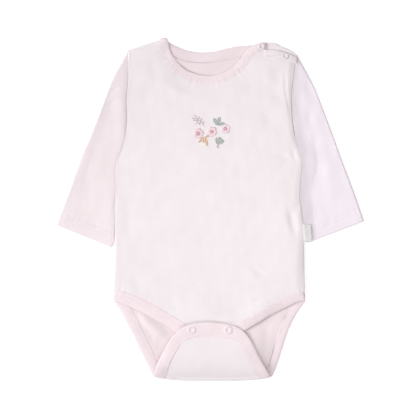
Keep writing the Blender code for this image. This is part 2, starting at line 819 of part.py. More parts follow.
def sleeve_mid(folds, t, across, length, x, y):
    """Middle height of a sleeve's upper wall. across is the distance from its outer edge."""
    near = eased(t / SLEEVE_RISE)
    high = mix(armhole_height(y), SLEEVE_HIGH, near)
    start = FLOOR_MID + SLEEVE_CURL
    outer = rise(across, SLEEVE_ROLL)
    inner = rise(length - across, SLEEVE_ROLL)
    return start + (high - start) * outer * inner - fold_sum(folds, x, y) * outer * inner * near


def sleeve_rings(side, outer_edge, folds, cuff_y):
    """Rings round the flattened sleeve, from the armhole to the cuff."""
    outer = curve_through([tuple(p) for p in outer_edge], SLEEVE_LENGTHS)
    rings = []
    arm_top = outer_edge[0].y
    for n, (ox, oy) in enumerate(outer):
        t = n / SLEEVE_LENGTHS
        iy = mix(UNDERARM_Y, cuff_y, t)
        part = ARMHOLE_PART + SLEEVE_PART * eased(t / SLEEVE_PART_BY)
        part += CUFF_PART * eased((t - CUFF_PART_FROM) / (1.0 - CUFF_PART_FROM))
        ix = body_side(iy, side) + side * part
        length = math.dist((ox, oy), (ix, iy))
        bow = eased(1.0 - t / SLEEVE_BLEND) if t < SLEEVE_BLEND else 0.0

        def place(across, z):
            share = across / length
            x, y = mix(ox, ix, share), mix(oy, iy, share)
            if bow:
                arm_y = mix(arm_top, UNDERARM_Y, share)
                seam_x = body_side(arm_y, side) + side * ARMHOLE_PART
                straight = mix(outer_edge[0].x, body_side(UNDERARM_Y, side), share)
                x += bow * (seam_x - straight)
            return (x, y, z)

        inset = SLEEVE_CURL + CLOTH / 2
        turned_in = inset - SLEEVE_CURL * math.sin(math.pi / 4)
        turned_up = FLOOR_MID + SLEEVE_CURL * (1.0 - math.cos(math.pi / 4))
        ring = []
        for step in range(SLEEVE_BOTTOM_STEPS + 1):
            across = mix(length - inset, inset, step / SLEEVE_BOTTOM_STEPS)
            ring.append(place(across, FLOOR_MID))
        ring.append(place(turned_in, turned_up))
        for share in spread(SLEEVE_TOP_STEPS, SLEEVE_CROWDING):
            across = mix(CLOTH / 2, length - CLOTH / 2, share)
            x, y, _ = place(across, 0.0)
            z = sleeve_mid(folds, t, across - CLOTH / 2, length - CLOTH, x, y)
            ring.append((x, y, z))
        ring.append(place(length - turned_in, turned_up))
        rings.append(ring)
    return rings


def add_sleeve(collection, name, side, outer_edge, folds, cuff_y):
    rings = sleeve_rings(side, outer_edge, folds, cuff_y)
    piece = add_piece(collection, name, ring_mesh(name, rings, False), SLEEVE_JERSEY)
    thicken(piece, CLOTH, even=False)
    return rings


# ---------------------------------------------------------------- trims


def add_snap(collection, name, x, y, top, radius, hole):
    """A ring snap seated on a surface: a turned ring whose profile is swept by a Screw modifier."""
    mesh = bpy.data.meshes.new(name)
    build = bmesh.new()
    verts = []
    for share, up in SNAP_PROFILE:
        verts.append(build.verts.new((mix(hole, radius, share) * MM, 0.0, up * SNAP_HEIGHT * MM)))
    for a, b in zip(verts, verts[1:] + verts[:1]):
        build.edges.new((a, b))
    build.to_mesh(mesh)
    build.free()
    piece = add_piece(collection, name, mesh, SNAP_METAL)
    slope_x = (top(x + radius, y) - top(x - radius, y)) / (2 * radius)
    slope_y = (top(x, y + radius) - top(x, y - radius)) / (2 * radius)
    upright = Vector((-slope_x, -slope_y, 1.0)).normalized()
    seat = Vector((x, y, top(x, y))) + upright * (SEAM + SNAP_CLEAR)
    piece.location = seat * MM
    piece.rotation_mode = "QUATERNION"
    piece.rotation_quaternion = Vector((0.0, 0.0, 1.0)).rotation_difference(upright)
    turned = piece.modifiers.new("turned", "SCREW")
    turned.steps = SNAP_STEPS
    turned.render_steps = SNAP_STEPS
    turned.use_merge_vertices = True
    turned.merge_threshold = 0.00001
    turned.use_normal_calculate = True


def add_snaps(collection):
    def flap_top(x, y):
        return flap_mid(y) + TAPE / 2

    def band_top(x, y):
        return band_mid(x, y) + TAPE / 2

    def placket_top(x, y):
        return front_mid(x, y) + PLACKET_LIFT + PLACKET_CLOTH / 2

    tops = {"flap": flap_top, "band": band_top, "placket": placket_top}
    for spot in SNAPS:
        add_snap(collection, spot.name, spot.x, spot.y, tops[spot.on], spot.radius, spot.hole)


def add_side_label(collection, rings):
    """A blank folded tape out of the left side seam, lying over the sleeve's inner edge."""
    tops = []
    for ring in rings:
        tops += ring[SLEEVE_BOTTOM_STEPS + 2 : -1]

    def sleeve_top(x, y):
        near = sorted(tops, key=lambda p: (p[0] - x) ** 2 + (p[1] - y) ** 2)[:6]
        return max(p[2] for p in near)

    lift = CLOTH / 2 + SEAM + LABEL_CLEAR + LABEL_CLOTH / 2
    down, out = LABEL_STEPS
    rows = []
    for n in range(down + 1):
        y = mix(LABEL_TOP, LABEL_BOTTOM, n / down)
        start = body_side(y, 1) + SEAM + LABEL_START
        row = []
        for m in range(out + 1):
            x = start + LABEL_WIDTH * m / out
            row.append((x, y, sleeve_top(x, y) + lift))
        rows.append(row)
    piece = add_piece(collection, "side_label", grid_mesh("side_label", rows), SATIN)
    thicken(piece, LABEL_CLOTH)


# ---------------------------------------------------------------- the garment


def main():
    for old in list(bpy.data.objects):
        bpy.data.objects.remove(old, do_unlink=True)
    collection = bpy.data.collections.new("baby_bodysuit")
    bpy.context.scene.collection.children.link(collection)
    add_front_panel(collection)
    add_back_panel(collection)
    add_neckband(collection)
    add_leg_bindings(collection)
    add_plackets(collection)
    add_sleeve(collection, "right_sleeve", -1, RIGHT_SLEEVE, RIGHT_SLEEVE_FOLDS, CUFF_INNER_Y[0])
    left_rings = add_sleeve(collection, "left_sleeve", 1, LEFT_SLEEVE, LEFT_SLEEVE_FOLDS, CUFF_INNER_Y[1])
    add_snaps(collection)
    add_side_label(collection, left_rings)


main()
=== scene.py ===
"""Looks of a long-sleeve baby bodysuit in cotton jersey, laid flat on its back with the front up.

The garment lies on z = 0 with its neck towards +Y. Left and right are the wearer's, so the right sleeve
is at -X. Sizes are in millimetres and become metres when a mesh is made. The cloth is modelled as thin
shells from the cut's own edges, with the folds given in the tables below.
"""

import json
import math
from collections import namedtuple

import bpy
import numpy as np
from mathutils import Vector
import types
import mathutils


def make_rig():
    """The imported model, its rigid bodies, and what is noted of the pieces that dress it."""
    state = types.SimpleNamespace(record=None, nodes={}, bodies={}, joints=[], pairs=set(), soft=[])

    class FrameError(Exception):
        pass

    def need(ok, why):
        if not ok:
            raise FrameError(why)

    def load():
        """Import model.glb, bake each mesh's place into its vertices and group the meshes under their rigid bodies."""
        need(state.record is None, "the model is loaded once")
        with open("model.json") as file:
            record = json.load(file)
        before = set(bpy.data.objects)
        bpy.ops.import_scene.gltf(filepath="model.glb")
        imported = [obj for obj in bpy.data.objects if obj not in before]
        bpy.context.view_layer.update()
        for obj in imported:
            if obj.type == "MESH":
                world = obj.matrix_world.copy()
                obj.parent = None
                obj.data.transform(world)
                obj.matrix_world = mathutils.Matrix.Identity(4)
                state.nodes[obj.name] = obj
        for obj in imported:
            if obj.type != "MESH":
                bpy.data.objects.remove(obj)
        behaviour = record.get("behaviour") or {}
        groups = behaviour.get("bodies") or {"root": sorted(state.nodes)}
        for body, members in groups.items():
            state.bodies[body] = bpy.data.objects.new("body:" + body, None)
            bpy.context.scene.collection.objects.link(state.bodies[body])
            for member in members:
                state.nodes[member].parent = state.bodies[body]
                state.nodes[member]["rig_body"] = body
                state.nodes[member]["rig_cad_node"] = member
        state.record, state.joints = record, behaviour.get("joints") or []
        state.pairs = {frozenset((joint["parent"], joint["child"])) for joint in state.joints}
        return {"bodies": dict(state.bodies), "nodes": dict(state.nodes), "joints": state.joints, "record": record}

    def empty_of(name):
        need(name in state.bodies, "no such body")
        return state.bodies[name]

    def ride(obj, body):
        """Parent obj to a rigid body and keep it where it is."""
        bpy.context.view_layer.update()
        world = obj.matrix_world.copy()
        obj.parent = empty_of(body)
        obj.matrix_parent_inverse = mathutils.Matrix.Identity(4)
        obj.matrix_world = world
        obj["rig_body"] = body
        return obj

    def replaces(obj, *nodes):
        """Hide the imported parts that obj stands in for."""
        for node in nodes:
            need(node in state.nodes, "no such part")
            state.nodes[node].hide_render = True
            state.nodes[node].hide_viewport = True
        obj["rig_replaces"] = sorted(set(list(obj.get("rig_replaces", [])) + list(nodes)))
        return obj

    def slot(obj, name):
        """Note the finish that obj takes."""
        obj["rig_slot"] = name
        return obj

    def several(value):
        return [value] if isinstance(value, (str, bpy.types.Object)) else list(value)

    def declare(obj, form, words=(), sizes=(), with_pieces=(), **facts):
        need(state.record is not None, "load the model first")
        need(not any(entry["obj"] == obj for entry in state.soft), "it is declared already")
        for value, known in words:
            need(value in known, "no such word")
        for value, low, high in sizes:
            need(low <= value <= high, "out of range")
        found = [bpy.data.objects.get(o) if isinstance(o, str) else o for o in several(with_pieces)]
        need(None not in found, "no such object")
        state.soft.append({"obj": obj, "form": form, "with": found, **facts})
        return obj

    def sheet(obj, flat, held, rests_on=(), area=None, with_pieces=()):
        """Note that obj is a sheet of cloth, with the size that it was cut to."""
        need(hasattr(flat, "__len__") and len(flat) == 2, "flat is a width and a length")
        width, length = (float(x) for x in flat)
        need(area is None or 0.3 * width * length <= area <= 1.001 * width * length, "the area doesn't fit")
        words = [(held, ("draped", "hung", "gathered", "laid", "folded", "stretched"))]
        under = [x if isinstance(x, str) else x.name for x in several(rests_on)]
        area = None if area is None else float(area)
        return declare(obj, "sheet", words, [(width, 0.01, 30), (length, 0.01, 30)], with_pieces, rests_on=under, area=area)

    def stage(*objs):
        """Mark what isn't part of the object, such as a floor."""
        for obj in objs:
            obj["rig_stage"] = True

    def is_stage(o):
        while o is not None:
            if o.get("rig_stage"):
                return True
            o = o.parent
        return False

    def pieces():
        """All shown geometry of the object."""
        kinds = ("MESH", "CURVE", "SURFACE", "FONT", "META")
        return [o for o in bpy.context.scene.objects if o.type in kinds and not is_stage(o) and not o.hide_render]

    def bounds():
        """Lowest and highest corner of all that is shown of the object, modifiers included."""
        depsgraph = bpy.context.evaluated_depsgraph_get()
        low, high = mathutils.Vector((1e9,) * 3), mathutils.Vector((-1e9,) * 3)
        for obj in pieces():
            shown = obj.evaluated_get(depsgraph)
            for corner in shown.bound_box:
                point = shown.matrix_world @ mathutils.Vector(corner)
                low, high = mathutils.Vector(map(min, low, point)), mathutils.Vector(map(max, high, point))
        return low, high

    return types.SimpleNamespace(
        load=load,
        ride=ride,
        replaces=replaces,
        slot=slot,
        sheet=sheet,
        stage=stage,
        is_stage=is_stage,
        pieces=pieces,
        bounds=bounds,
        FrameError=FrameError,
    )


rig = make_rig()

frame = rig.load()
CAD_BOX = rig.bounds()

MM = 0.001


def rows(kind, *table):
    """A table's rows as named tuples."""
    return [kind(*row) for row in table]


# The picture: pixels on a side, the size of one on the table, and the camera's lens and sensor
PIXELS = 420
PIXEL = 1.12
LENS = 100.0
SENSOR = 36.0

# Lights: the key's tilt from straight above, the heading that it comes from and its spread, in degrees
KEY_TILT = 60.0
KEY_HEADING = 176.0
KEY_SPREAD = 34.0
KEY_LIGHT = 0.33
STRIP_POWER = 2.35
WORLD_LIGHT = 0.30

# Cloth
CLOTH = 0.8  # wall of jersey
TAPE = 1.7  # folded binding
NECK_TAPE = 1.25  # folded neckband
WALE = 0.95  # spacing of the knit's columns and of its loops
COURSE = 0.75
UNDER = 3.0  # how far a panel reaches into the tape along its edge
TAPE_OVER = -0.3  # what inner_edge takes off a tape's width, so that it reaches a little over its seam
FLOOR_MID = 0.42  # height of the back's middle surface
FAR = 99.0  # beyond every reach

# Heights of the front's middle surface
FRONT_LOW = 1.3
FRONT_HIGH = 5.6
SHOULDER_LAP = 3.5
HIP_MID = 3.2
TAB_MID = 3.1
NECK_MID = 3.1  # along the neck's edge, and where it lies on the back's band
NECK_MID_HIGH = 4.0
NECK_REACH = 30.0
LEG_MID = (3.4, 4.5)  # along the right and the left leg's edge
LEG_REACH = 20.0
SHOULDER_ROLL = 13.0
SHOULDER_ROUNDNESS = (1.6, 1.15)  # of the right and the left
SHOULDER_Y = 150.0  # the shoulders fall above here
TAB_HALF = 50.0
TAB_START = 0.2  # how far above the flap's edge the front has gone down, and over what distance it does
TAB_EASE = 2.6
NECK_ABOVE = 100.0  # where each opening's, and the flap's, part of the front lies
LEG_BELOW = -60.0
FLAP_BELOW = -100.0

# Where a change of height starts, and over what distance: up the front in y, or outwards in x
HIP_RISE = (-92.0, 34.0)  # of the least height of its edge
NECK_RISE = (156.0, 14.0)
LEG_RISE = (-10.0, 50.0)  # from the right leg's height to the left's, and back (in -x) nearer the hip
LEG_FALL = (-76.0, 36.0)
HIP_FROM = (90.0, 12.0)
SHOULDER_FROM = (50.0, 12.0)
OVER_LEG = (86.0, 8.0)  # where a front tape lies over the back's tapes
OVER_BAND = (168.0, 6.0)
FLAP_SIDE_RISE = (-156.0, 20.0)  # of the flap's sides, which cross the front
SEAM_CLEAR = (1.5, 7.0)  # from the back's leg seam, where its folds begin

# Bottom fold and flap
FOLD_TOP = 2.5
FLAP_HIGH = 9.5
FLAP_LOW = 5.9
FLAP_CREST = 26.0  # how far above the fold line the flap is highest
FLAP_FALL = 24.0
FLAP_ROUNDNESS = 2.6
FLAP_SIDE = (8.2, 7.8)  # height of its right and left bound sides near the fold
FLAP_SIDE_REACH = (24.0, 30.0)
FOLD_RADIUS = 3.75
FOLD_BULGE = 1.43  # how far its curve's control points lie out, in radii
FOLD_LINE = -187.9
FOLD_LIFT = 5.6
FOLD_HALF = 68.0
FOLD_MIDDLE_X = 3.0
FLAP_SIDES = 28.0  # above the fold's turn, length of cloth over which the grid keeps to the flap's sides
FOLD_TAPE_WIDTH = 12.0

# Sleeves
SLEEVE_CURL = 1.2  # radius of the underside's edges
SLEEVE_BLEND = 0.22  # share of the length over which it leaves the armhole's curve
ARMHOLE_PART = 0.02
CORNER = 0.1  # how far the top of the inner fold leans over its foot
CUFF_PART = 3.4  # how far the cuff parts from the body, from this share of the length
CUFF_PART_FROM = 0.925
HEM = 15.6  # depth of the cuff's hem
HEM_ROWS = (14.6, 10.0)  # the twin rows of stitches, from the cuff
HEM_DIP = 0.3
HEM_DIP_HALF = 0.9
HEM_RIPPLE = 0.09
HEM_RIPPLE_AT = 12.6
HEM_RIPPLE_HALF = 5.0
SLEEVE_UPPER = 2.0  # the sleeve's upper cloth is above this

# Outlines, measured from the photo
NECK_WIDTH = 10.0
BACK_NECK_WIDTH = 14.4
PLACKET_WIDTH = 8.0

Side = namedtuple("Side", "y left right")
BODY_SIDES = rows(
    Side,
    (200, -92.6, 99.9), (177.5, -92.4, 99.8), (171.9, -92, 99.6), (165, -91.7, 96.8), (150, -91.4, 94),
    (135, -92.4, 92), (120, -93.4, 91.2), (105, -92.8, 91.9), (90, -93.4, 93.6), (78, -95.8, 96),
    (66, -98.9, 99.9), (55, -103.8, 103), (45, -105.7, 102.6), (30, -105.4, 101), (15, -106.2, 100.2),
    (0, -106.8, 102.3), (-15, -106.8, 104.2), (-30, -106.6, 105.3), (-45, -106.9, 106),
    (-60, -107.4, 106.1), (-80, -108, 106.3), (-101.4, -109, 107.2), (-140, -109, 107.4),
    (-170, -109, 107.4),
)
UNDERARM_Y = 54.0
SEAM_GAP = 0.02  # from the seam line to the front's middle surface, where a sleeve meets it edge to edge
OPEN_SIDE = (-42.0, 12.0)  # below here the inset is half the cloth, and it changes over this distance
HIP_Y = -88.6  # where the leg openings start
HIP_INSET = 0.3  # how far inside the body's side they do

# How the front falls at its sides: the upright wall (below the armholes only), the round crest above it
# and its radius, the gentler slope further in and its reach, and the swell beyond that
Roll = namedtuple("Roll", "y wall radius crest near reach bulge")
RIGHT_ROLLS = rows(
    Roll,
    (178, 0, 1.8, 3, 0.4, 6, 0), (165, 0, 1.4, 0.5, -0.1, 5, 0), (150, 0, 1, 0.15, 0, 5, 0),
    (120, 0, 0.9, 0.05, -0.35, 5, 0), (70, 0, 0.9, 0.05, -0.3, 5, 0), (54, 0, 0.9, 0.05, -0.15, 5.5, 0),
    (45, 0, 0.9, 0.05, -0.1, 6, 0), (-28, 0, 0.9, 0.05, 0, 7, 0), (-42, 1.2, 1.8, 2.9, -0.3, 9, 0),
    (-88, 0.3, 1.8, 3, -0.2, 9, 0),
)
LEFT_ROLLS = rows(
    Roll,
    (178, 0, 2, 0.5, 2.1, 9, 0), (165, 0, 1.6, 0.3, 1.7, 9, 0.2), (145, 0, 1.2, 0.1, 1.15, 7, 0.2),
    (100, 0, 1.2, 0.1, 1.1, 6, 0.2), (85, 0, 1.4, 0.1, 1, 6, 0.3), (66, 0, 1.6, 0.1, 0.6, 5, 0.3),
    (45, 0, 1.6, 0.1, 0.8, 6, 0.3), (-28, 0, 1.6, 0.1, 0.8, 7, 0.5), (-42, 1, 1.6, 0.9, 2.2, 10, 0.9),
    (-88, 0.2, 1.8, 1.2, 2.2, 11, 0.6),
)
WALL_DEPTH = 0.12  # over which the upright wall stands
BULGE_AT = 22.0  # how far inside the side the swell is highest
EDGE_LEAST = 1.3  # the lowest that the front's edge lies

Edge = namedtuple("Edge", "x y width")
NECK_EDGE = rows(
    Edge,
    (-47.9, 191.4, 9.4), (-47.2, 188, 9.4), (-46, 183.2, 9.6), (-42.2, 173.4, NECK_WIDTH),
    (-36, 164.6, NECK_WIDTH), (-27, 157, NECK_WIDTH), (-14, 151.6, NECK_WIDTH), (0, 150.2, NECK_WIDTH),
    (12, 152.4, NECK_WIDTH), (22.4, 157.6, NECK_WIDTH), (31.5, 165.4, NECK_WIDTH), (38, 174.4, NECK_WIDTH),
    (45, 181.8, 9.4), (53, 186, 8.4), (61.5, 187.2, 7.6),
)
BACK_NECK_EDGE = rows(
    Edge,
    (-48, 190.6, 8.4), (-46.4, 187.8, 9.6), (-39, 183.9, BACK_NECK_WIDTH), (-26, 178.6, BACK_NECK_WIDTH),
    (-11, 176.2, BACK_NECK_WIDTH), (4, 177.4, BACK_NECK_WIDTH), (18, 180.6, BACK_NECK_WIDTH),
    (34, 183.4, BACK_NECK_WIDTH), (48, 184.7, 12), (60.8, 186.8, 9.6),
)
FRONT_LEG_EDGE = rows(
    Edge,
    (-109.2, -101.4, 13.6), (-94, -107.4, 14), (-76, -115.4, 14), (-57, -126, 14), (-38, -137.6, 14),
    (-24, -147, 13), (0, -152.4, 12), (24, -146.8, 12), (38, -136.4, 11), (58, -124.6, 10.4),
    (78, -113.4, 10.4), (94, -105.6, 10.4), (106.8, -102, 11),
)
BACK_LEG_RIGHT = rows(
    Edge,
    (-108.2, -102.4, 12.3), (-95.2, -123.8, 12.3), (-84, -146.2, 12.3), (-73.4, -168.6, 12.3),
)
BACK_LEG_LEFT = rows(
    Edge,
    (106.6, -102.6, 12.3), (93, -123.8, 12.3), (84, -146.2, 12.3), (77, -168.6, 12.3),
)
FLAP_EDGE = rows(
    Edge,
    (-58.4, -172, 12), (-49.6, -154, 12), (-38, -137.4, 13), (-22.4, -128.8, 15.2), (-4, -126.2, 16),
    (16, -127.4, 16), (30.4, -131.2, 15), (41.6, -140, 13), (50.6, -156, 12), (59.6, -173.2, 12),
)
FOLD_ENDS = (-65.0, 70.6)

Point = namedtuple("Point", "x y")
RIGHT_SHOULDER = rows(Point, (-92.4, 177.5), (-78.4, 182.6), (-67.2, 186.2), (-58.2, 188.9))
LEFT_SHOULDER_FRONT = rows(Point, (63, 178.6), (72, 178.8), (82, 176.4), (91, 173.4), (98.2, 168.8))
LEFT_SHOULDER_BACK = rows(
    Point,
    (54.6, 187), (60.6, 187.2), (70.6, 187), (80.6, 182.6), (91.2, 178), (99.3, 171.4),
)
PLACKET_ENDS = (62.0, 97.0)
UNDER_PLACKET_ENDS = (59.6, 98.9)
UNDER_PLACKET_MID = 2.1
PLACKET_COLUMNS = 70
PLACKET_THICK = 1.0
PLACKET_LIFT = CLOTH / 2 + PLACKET_THICK / 2 + 0.05
UNDERLAP = 4.5

RIGHT_SLEEVE = rows(
    Point,
    (-94.2, 176.6), (-107.5, 150.6), (-120.6, 116), (-131.4, 88.4), (-145.6, 55.4), (-157.4, 22.6),
    (-172.5, -16.4),
)
LEFT_SLEEVE = rows(
    Point,
    (101.6, 170.2), (112, 148.4), (123.4, 120.6), (135.5, 89), (147.8, 55.4), (160.4, 22.6),
    (172.5, -12.2),
)

Snap = namedtuple("Snap", "name on x y radius hole")
SNAPS = rows(
    Snap,
    ("crotch_snap_right", "flap", -20.7, -134.4, 4.7, 2.3),
    ("crotch_snap_left", "flap", 20.2, -134.4, 4.7, 2.3),
    ("shoulder_snap_neck", "band", 57.6, 182.6, 3.7, 1.7),
    ("shoulder_snap_arm", "placket", 84.0, 171.6, 3.7, 1.7),
)
LABEL_WIDTH = 9.0  # with the part in the seam
LABEL_TOP = -16.0
LABEL_BOTTOM = -36.0
LABEL_CLOTH = 0.35
LABEL_IN_SEAM = 0.4
LABEL_CURL = 0.35

# Folds: a trough (depth > 0) or ridge (depth < 0) along a smooth line of points. Lean makes the side to
# the left of the line wider, and fade is the share of the length over which each end dies away.
Fold = namedtuple("Fold", "points width depth lean fade", defaults=(0.0, 0.5))
FRONT_FOLDS = rows(
    Fold,
    ([(84, 162), (84, 145), (85.4, 128), (88.6, 112), (91.4, 100)], 2, 0.34, 0, 0.35),
    ([(72, 164), (76, 146), (77, 128)], 6, 0.5),
    ([(58, 138), (72, 131), (86, 120)], 7, 0.55),
    ([(46, 118), (62, 106), (84, 84)], 8, 0.4),
    ([(66, 64), (84, 58), (99, 52)], 4.5, 0.5, 0, 0.45),
    ([(92, 72), (94, 60), (99, 50)], 3, 0.5, 0, 0.4),
    ([(85, 8), (89, -2), (93, -20), (98, -34)], 5, 0.9, 0.2, 0.4),
    ([(96, 10), (97, -6)], 4, 0.5),
    ([(44, -62), (53, -70), (66, -77)], 3.6, 0.6, 0.2, 0.5),
    ([(40, -70), (52, -80), (62, -84)], 4, -0.25),
    ([(40, -106), (52, -103), (62, -96)], 5, 0.5),
    ([(-46, 144), (-28, 136), (-8, 133)], 6, 0.55),
    ([(-62, 130), (-44, 124), (-20, 122)], 7, 0.35),
    ([(-70, 172), (-64, 158), (-58, 142)], 8, 0.6),
    ([(-76, 128), (-66, 112)], 7, 0.35),
    ([(-84, 30), (-90, 0), (-92, -40)], 8, 0.4),
    ([(-92, -60), (-80, -84), (-64, -100)], 8, 0.45),
    ([(-52, -96), (-40, -108), (-28, -116)], 6, 0.4),
    ([(-30, -108), (0, -112), (28, -110)], 12, -0.45),
    ([(60, 40), (64, 0), (60, -40)], 16, 0.35),
    ([(-60, 60), (-56, 20), (-60, -30)], 18, 0.3),
)
RIGHT_SLEEVE_FOLDS = rows(
    Fold,
    ([(-106, 130), (-120, 92), (-128, 70)], 7, 0.5, 0, 0.4),
    ([(-122, 84), (-134, 50), (-141, 20), (-146, 0)], 7.5, 0.4, 0.3, 0.35),
    ([(-101, 140), (-108, 133), (-116, 128)], 3, 0.3),
    ([(-100, 128), (-108, 120), (-118, 114)], 3.4, 0.3),
)
LEFT_SLEEVE_FOLDS = rows(
    Fold,
    ([(112, 96), (118, 76), (121, 56), (120, 30), (117, 6)], 6, 0.4, 0.35, 0.3),
    ([(108, 118), (112, 96), (114, 84)], 5, 0.5),
    ([(136, 70), (138, 40), (136, 10)], 9, -0.4, 0, 0.4),
    ([(128, 96), (140, 50), (152, 10)], 8, 0.4, 0, 0.4),
    ([(107, 150), (112, 132), (118, 116)], 5, 0.3),
)
# Folds of the back that lies on the table: they lift the cloth
BACK_FOLDS = rows(
    Fold,
    ([(-90, -117), (-68, -129), (-46, -144)], 6.5, -2.4, 0, 0.3),
    ([(-70, 140), (-58, 100), (-64, 60)], 9, -0.9, 0, 0.4),
    ([(66, 120), (54, 84), (58, 50)], 8, -0.8, 0, 0.4),
    ([(-92, 20), (-70, 8), (-50, 6)], 6, -0.7, 0, 0.4),
    ([(88, 6), (70, -6), (48, -8)], 6, -0.7, 0, 0.4),
    ([(-60, -90), (-30, -110), (-10, -140)], 8, -0.4, 0, 0.4),
    ([(58, -84), (36, -104), (20, -134)], 8, -0.8, 0, 0.4),
    ([(-20, 40), (6, 10), (24, -40)], 10, -0.7, 0, 0.4),
    ([(-30, 168), (-6, 163), (16, 166)], 5, -0.5),
    ([(-60, -134), (-62, -148), (-66, -164)], 3, -0.5, 0, 0.4),
    ([(76, -124), (70, -138), (68, -158)], 3.4, -0.8, 0, 0.4),
)
FOLD_STEPS = 14
FOLD_REACH = 4.0  # widths on each side of a fold's line
FOLD_RIM = 0.3  # share of a fold's depth that comes back as a broad rim
SEAM_LIFT = 0.5  # the back's cloth rises to the middle of its tape, over this reach
SEAM_REACH = 5.0
SEAT_FADE = 12.0  # length of cloth over which the back's folds die away above the bottom fold
FLAP_FADE = 10.0  # and over which the flap's unevenness begins

# Swells: broad changes of a panel's height
Swell = namedtuple("Swell", "x y reach_x reach_y height")
BACK_SWELLS = rows(
    Swell,
    (-8, 165, 42, 14, 0.9), (50, -160, 15.5, 24, 5.3), (-46, 172, 18, 12, 2.8), (72, -117, 13, 9, 1.6),
)
FRONT_SWELLS = rows(
    Swell,
    (-2, 152, 50, 16, -0.7), (-62, -118, 30, 16, -1.5), (58, -118, 17, 16, 2.2), (0, 20, 80, 90, 0.5),
)
# Waves: a slight unevenness everywhere, as sines of a length and heading in degrees
Wave = namedtuple("Wave", "length heading phase height")
WAVES = rows(
    Wave,
    (61, 23, 0.4, 0.13), (43, 112, 2.1, 0.11), (29, 64, 4, 0.07), (19, 151, 1.3, 0.05), (13, 8, 5.2, 0.03),
)
WAVE_SHIFT = 40.0  # in x, for other waves on the flap than on the front
PUCKER_REACH = 6.0
PUCKER_HEIGHT = 0.16
PUCKER_LENGTH = 6.5

# Counts of a grid's steps
FRONT_TOP_STEPS = (38, 80)  # along a shoulder and the neck
SHOULDER_CROWDING = 1.9  # power that crowds a shoulder's points to its outer end, and their least step in x
LEAST_STEP = 0.07
SIDE_STEPS = 200
LEAST_LENGTH = 0.4  # between the points that a side of the back is read from
FRONT_ROWS = 190
FRONT_CROWDING = 0.3
BACK_TOP_STEPS = (18, 60)
BACK_ROWS = 120
SEAT_ROWS = 50
FOLD_ROWS = 18
FLAP_ROWS = 44
SLEEVE_LENGTHS = 130
SLEEVE_TOP_STEPS = 70
SLEEVE_CROWDING = 0.6
SLEEVE_BOTTOM_STEPS = 36


# ---- curves


def mix(a, b, t):
    return a + (b - a) * t


def in_steps(count):
    """Shares from 0 to 1 in even steps."""
    return np.linspace(0.0, 1.0, count + 1)


def eased(t):
    t = np.clip(t, 0.0, 1.0)
    return t * t * (3.0 - 2.0 * t)


def ramp(value, start, over):
    """From 0 at a start to 1, eased, over a distance."""
    return eased((value - start) / over)


def swung(t):
    """From 0 to 1 on a quarter of a sine, level at its end."""
    return np.sin(np.clip(t, 0.0, 1.0) * math.pi / 2)


def rise(distance, reach, roundness=2.0):
    """From 0 to 1 over a reach, upright at its foot and level at its end."""
    inside = 1.0 - np.clip(distance / reach, 0.0, 1.0)
    return (1.0 - inside**roundness) ** (1.0 / roundness)


def unit(vectors):
    return vectors / np.maximum(np.linalg.norm(vectors, axis=1), 1e-9)[:, None]


def hermite(a, b, slope_a, slope_b, t):
    t2, t3 = t * t, t * t * t
    return (
        (2 * t3 - 3 * t2 + 1) * a
        + (t3 - 2 * t2 + t) * slope_a
        + (3 * t2 - 2 * t3) * b
        + (t3 - t2) * slope_b
    )


def table(keys, values, count=600):
    """A function of arrays that reads a smooth curve through values at rising keys. The curve doesn't
    overshoot its points."""
    slopes = [(d - c) / (b - a) for a, b, c, d in zip(keys, keys[1:], values, values[1:])]

    def joined(slope, other):
        return 0.0 if slope * other <= 0 else 2 * slope * other / (slope + other)

    at = np.linspace(keys[0], keys[-1], count)
    found = []
    for key in at:
        i = next(n for n in range(len(slopes)) if key <= keys[n + 1])
        start = joined(slopes[max(i - 1, 0)], slopes[i])
        end = joined(slopes[min(i + 1, len(slopes) - 1)], slopes[i])
        span = keys[i + 1] - keys[i]
        found.append(hermite(values[i], values[i + 1], start * span, end * span, (key - keys[i]) / span))
    return lambda x: np.interp(x, at, found)


def column(table_rows, name, y):
    """What a table, whose rows go down in y, has in a column at y."""
    keys = [row.y for row in reversed(table_rows)]
    return np.interp(y, keys, [getattr(row, name) for row in reversed(table_rows)])


def lengths_along(points):
    steps = np.linalg.norm(np.diff(points, axis=0), axis=1)
    return np.concatenate([[0.0], np.cumsum(steps)])


def at_lengths(points, lengths, want):
    return np.stack([np.interp(want, lengths, points[:, k]) for k in range(points.shape[1])], axis=1)


def evenly(points, shares):
    """Points at the given shares of a chain's length."""
    points = np.asarray(points, float)
    lengths = lengths_along(points[:, :2])
    return at_lengths(points, lengths, np.asarray(shares) * lengths[-1])


def curve_through(points, count):
    """Points evenly along a smooth curve through the given ones, each a tuple of numbers."""
    dense = []
    ends = [points[0]] + list(points) + [points[-1]]
    for a, b, c, d in zip(ends, ends[1:], ends[2:], ends[3:]):
        for step in range(16):
            t = step / 16
            dense.append([hermite(q, r, (r - p) / 2, (s - q) / 2, t) for p, q, r, s in zip(a, b, c, d)])
    dense.append(list(points[-1]))
    return evenly(dense, in_steps(count))


def inner_edge(edge, side, less=0.0):
    """The edge moved by each point's width, less a little: side is 1 for its left, -1 for its right."""
    edge = np.asarray(edge, float)
    before = np.vstack([edge[:1, :2], edge[:-1, :2]])
    after = np.vstack([edge[1:, :2], edge[-1:, :2]])
    along = unit(after - before)
    reach = side * (edge[:, 2] - less)
    return np.stack([edge[:, 0] - reach * along[:, 1], edge[:, 1] + reach * along[:, 0]], axis=1)


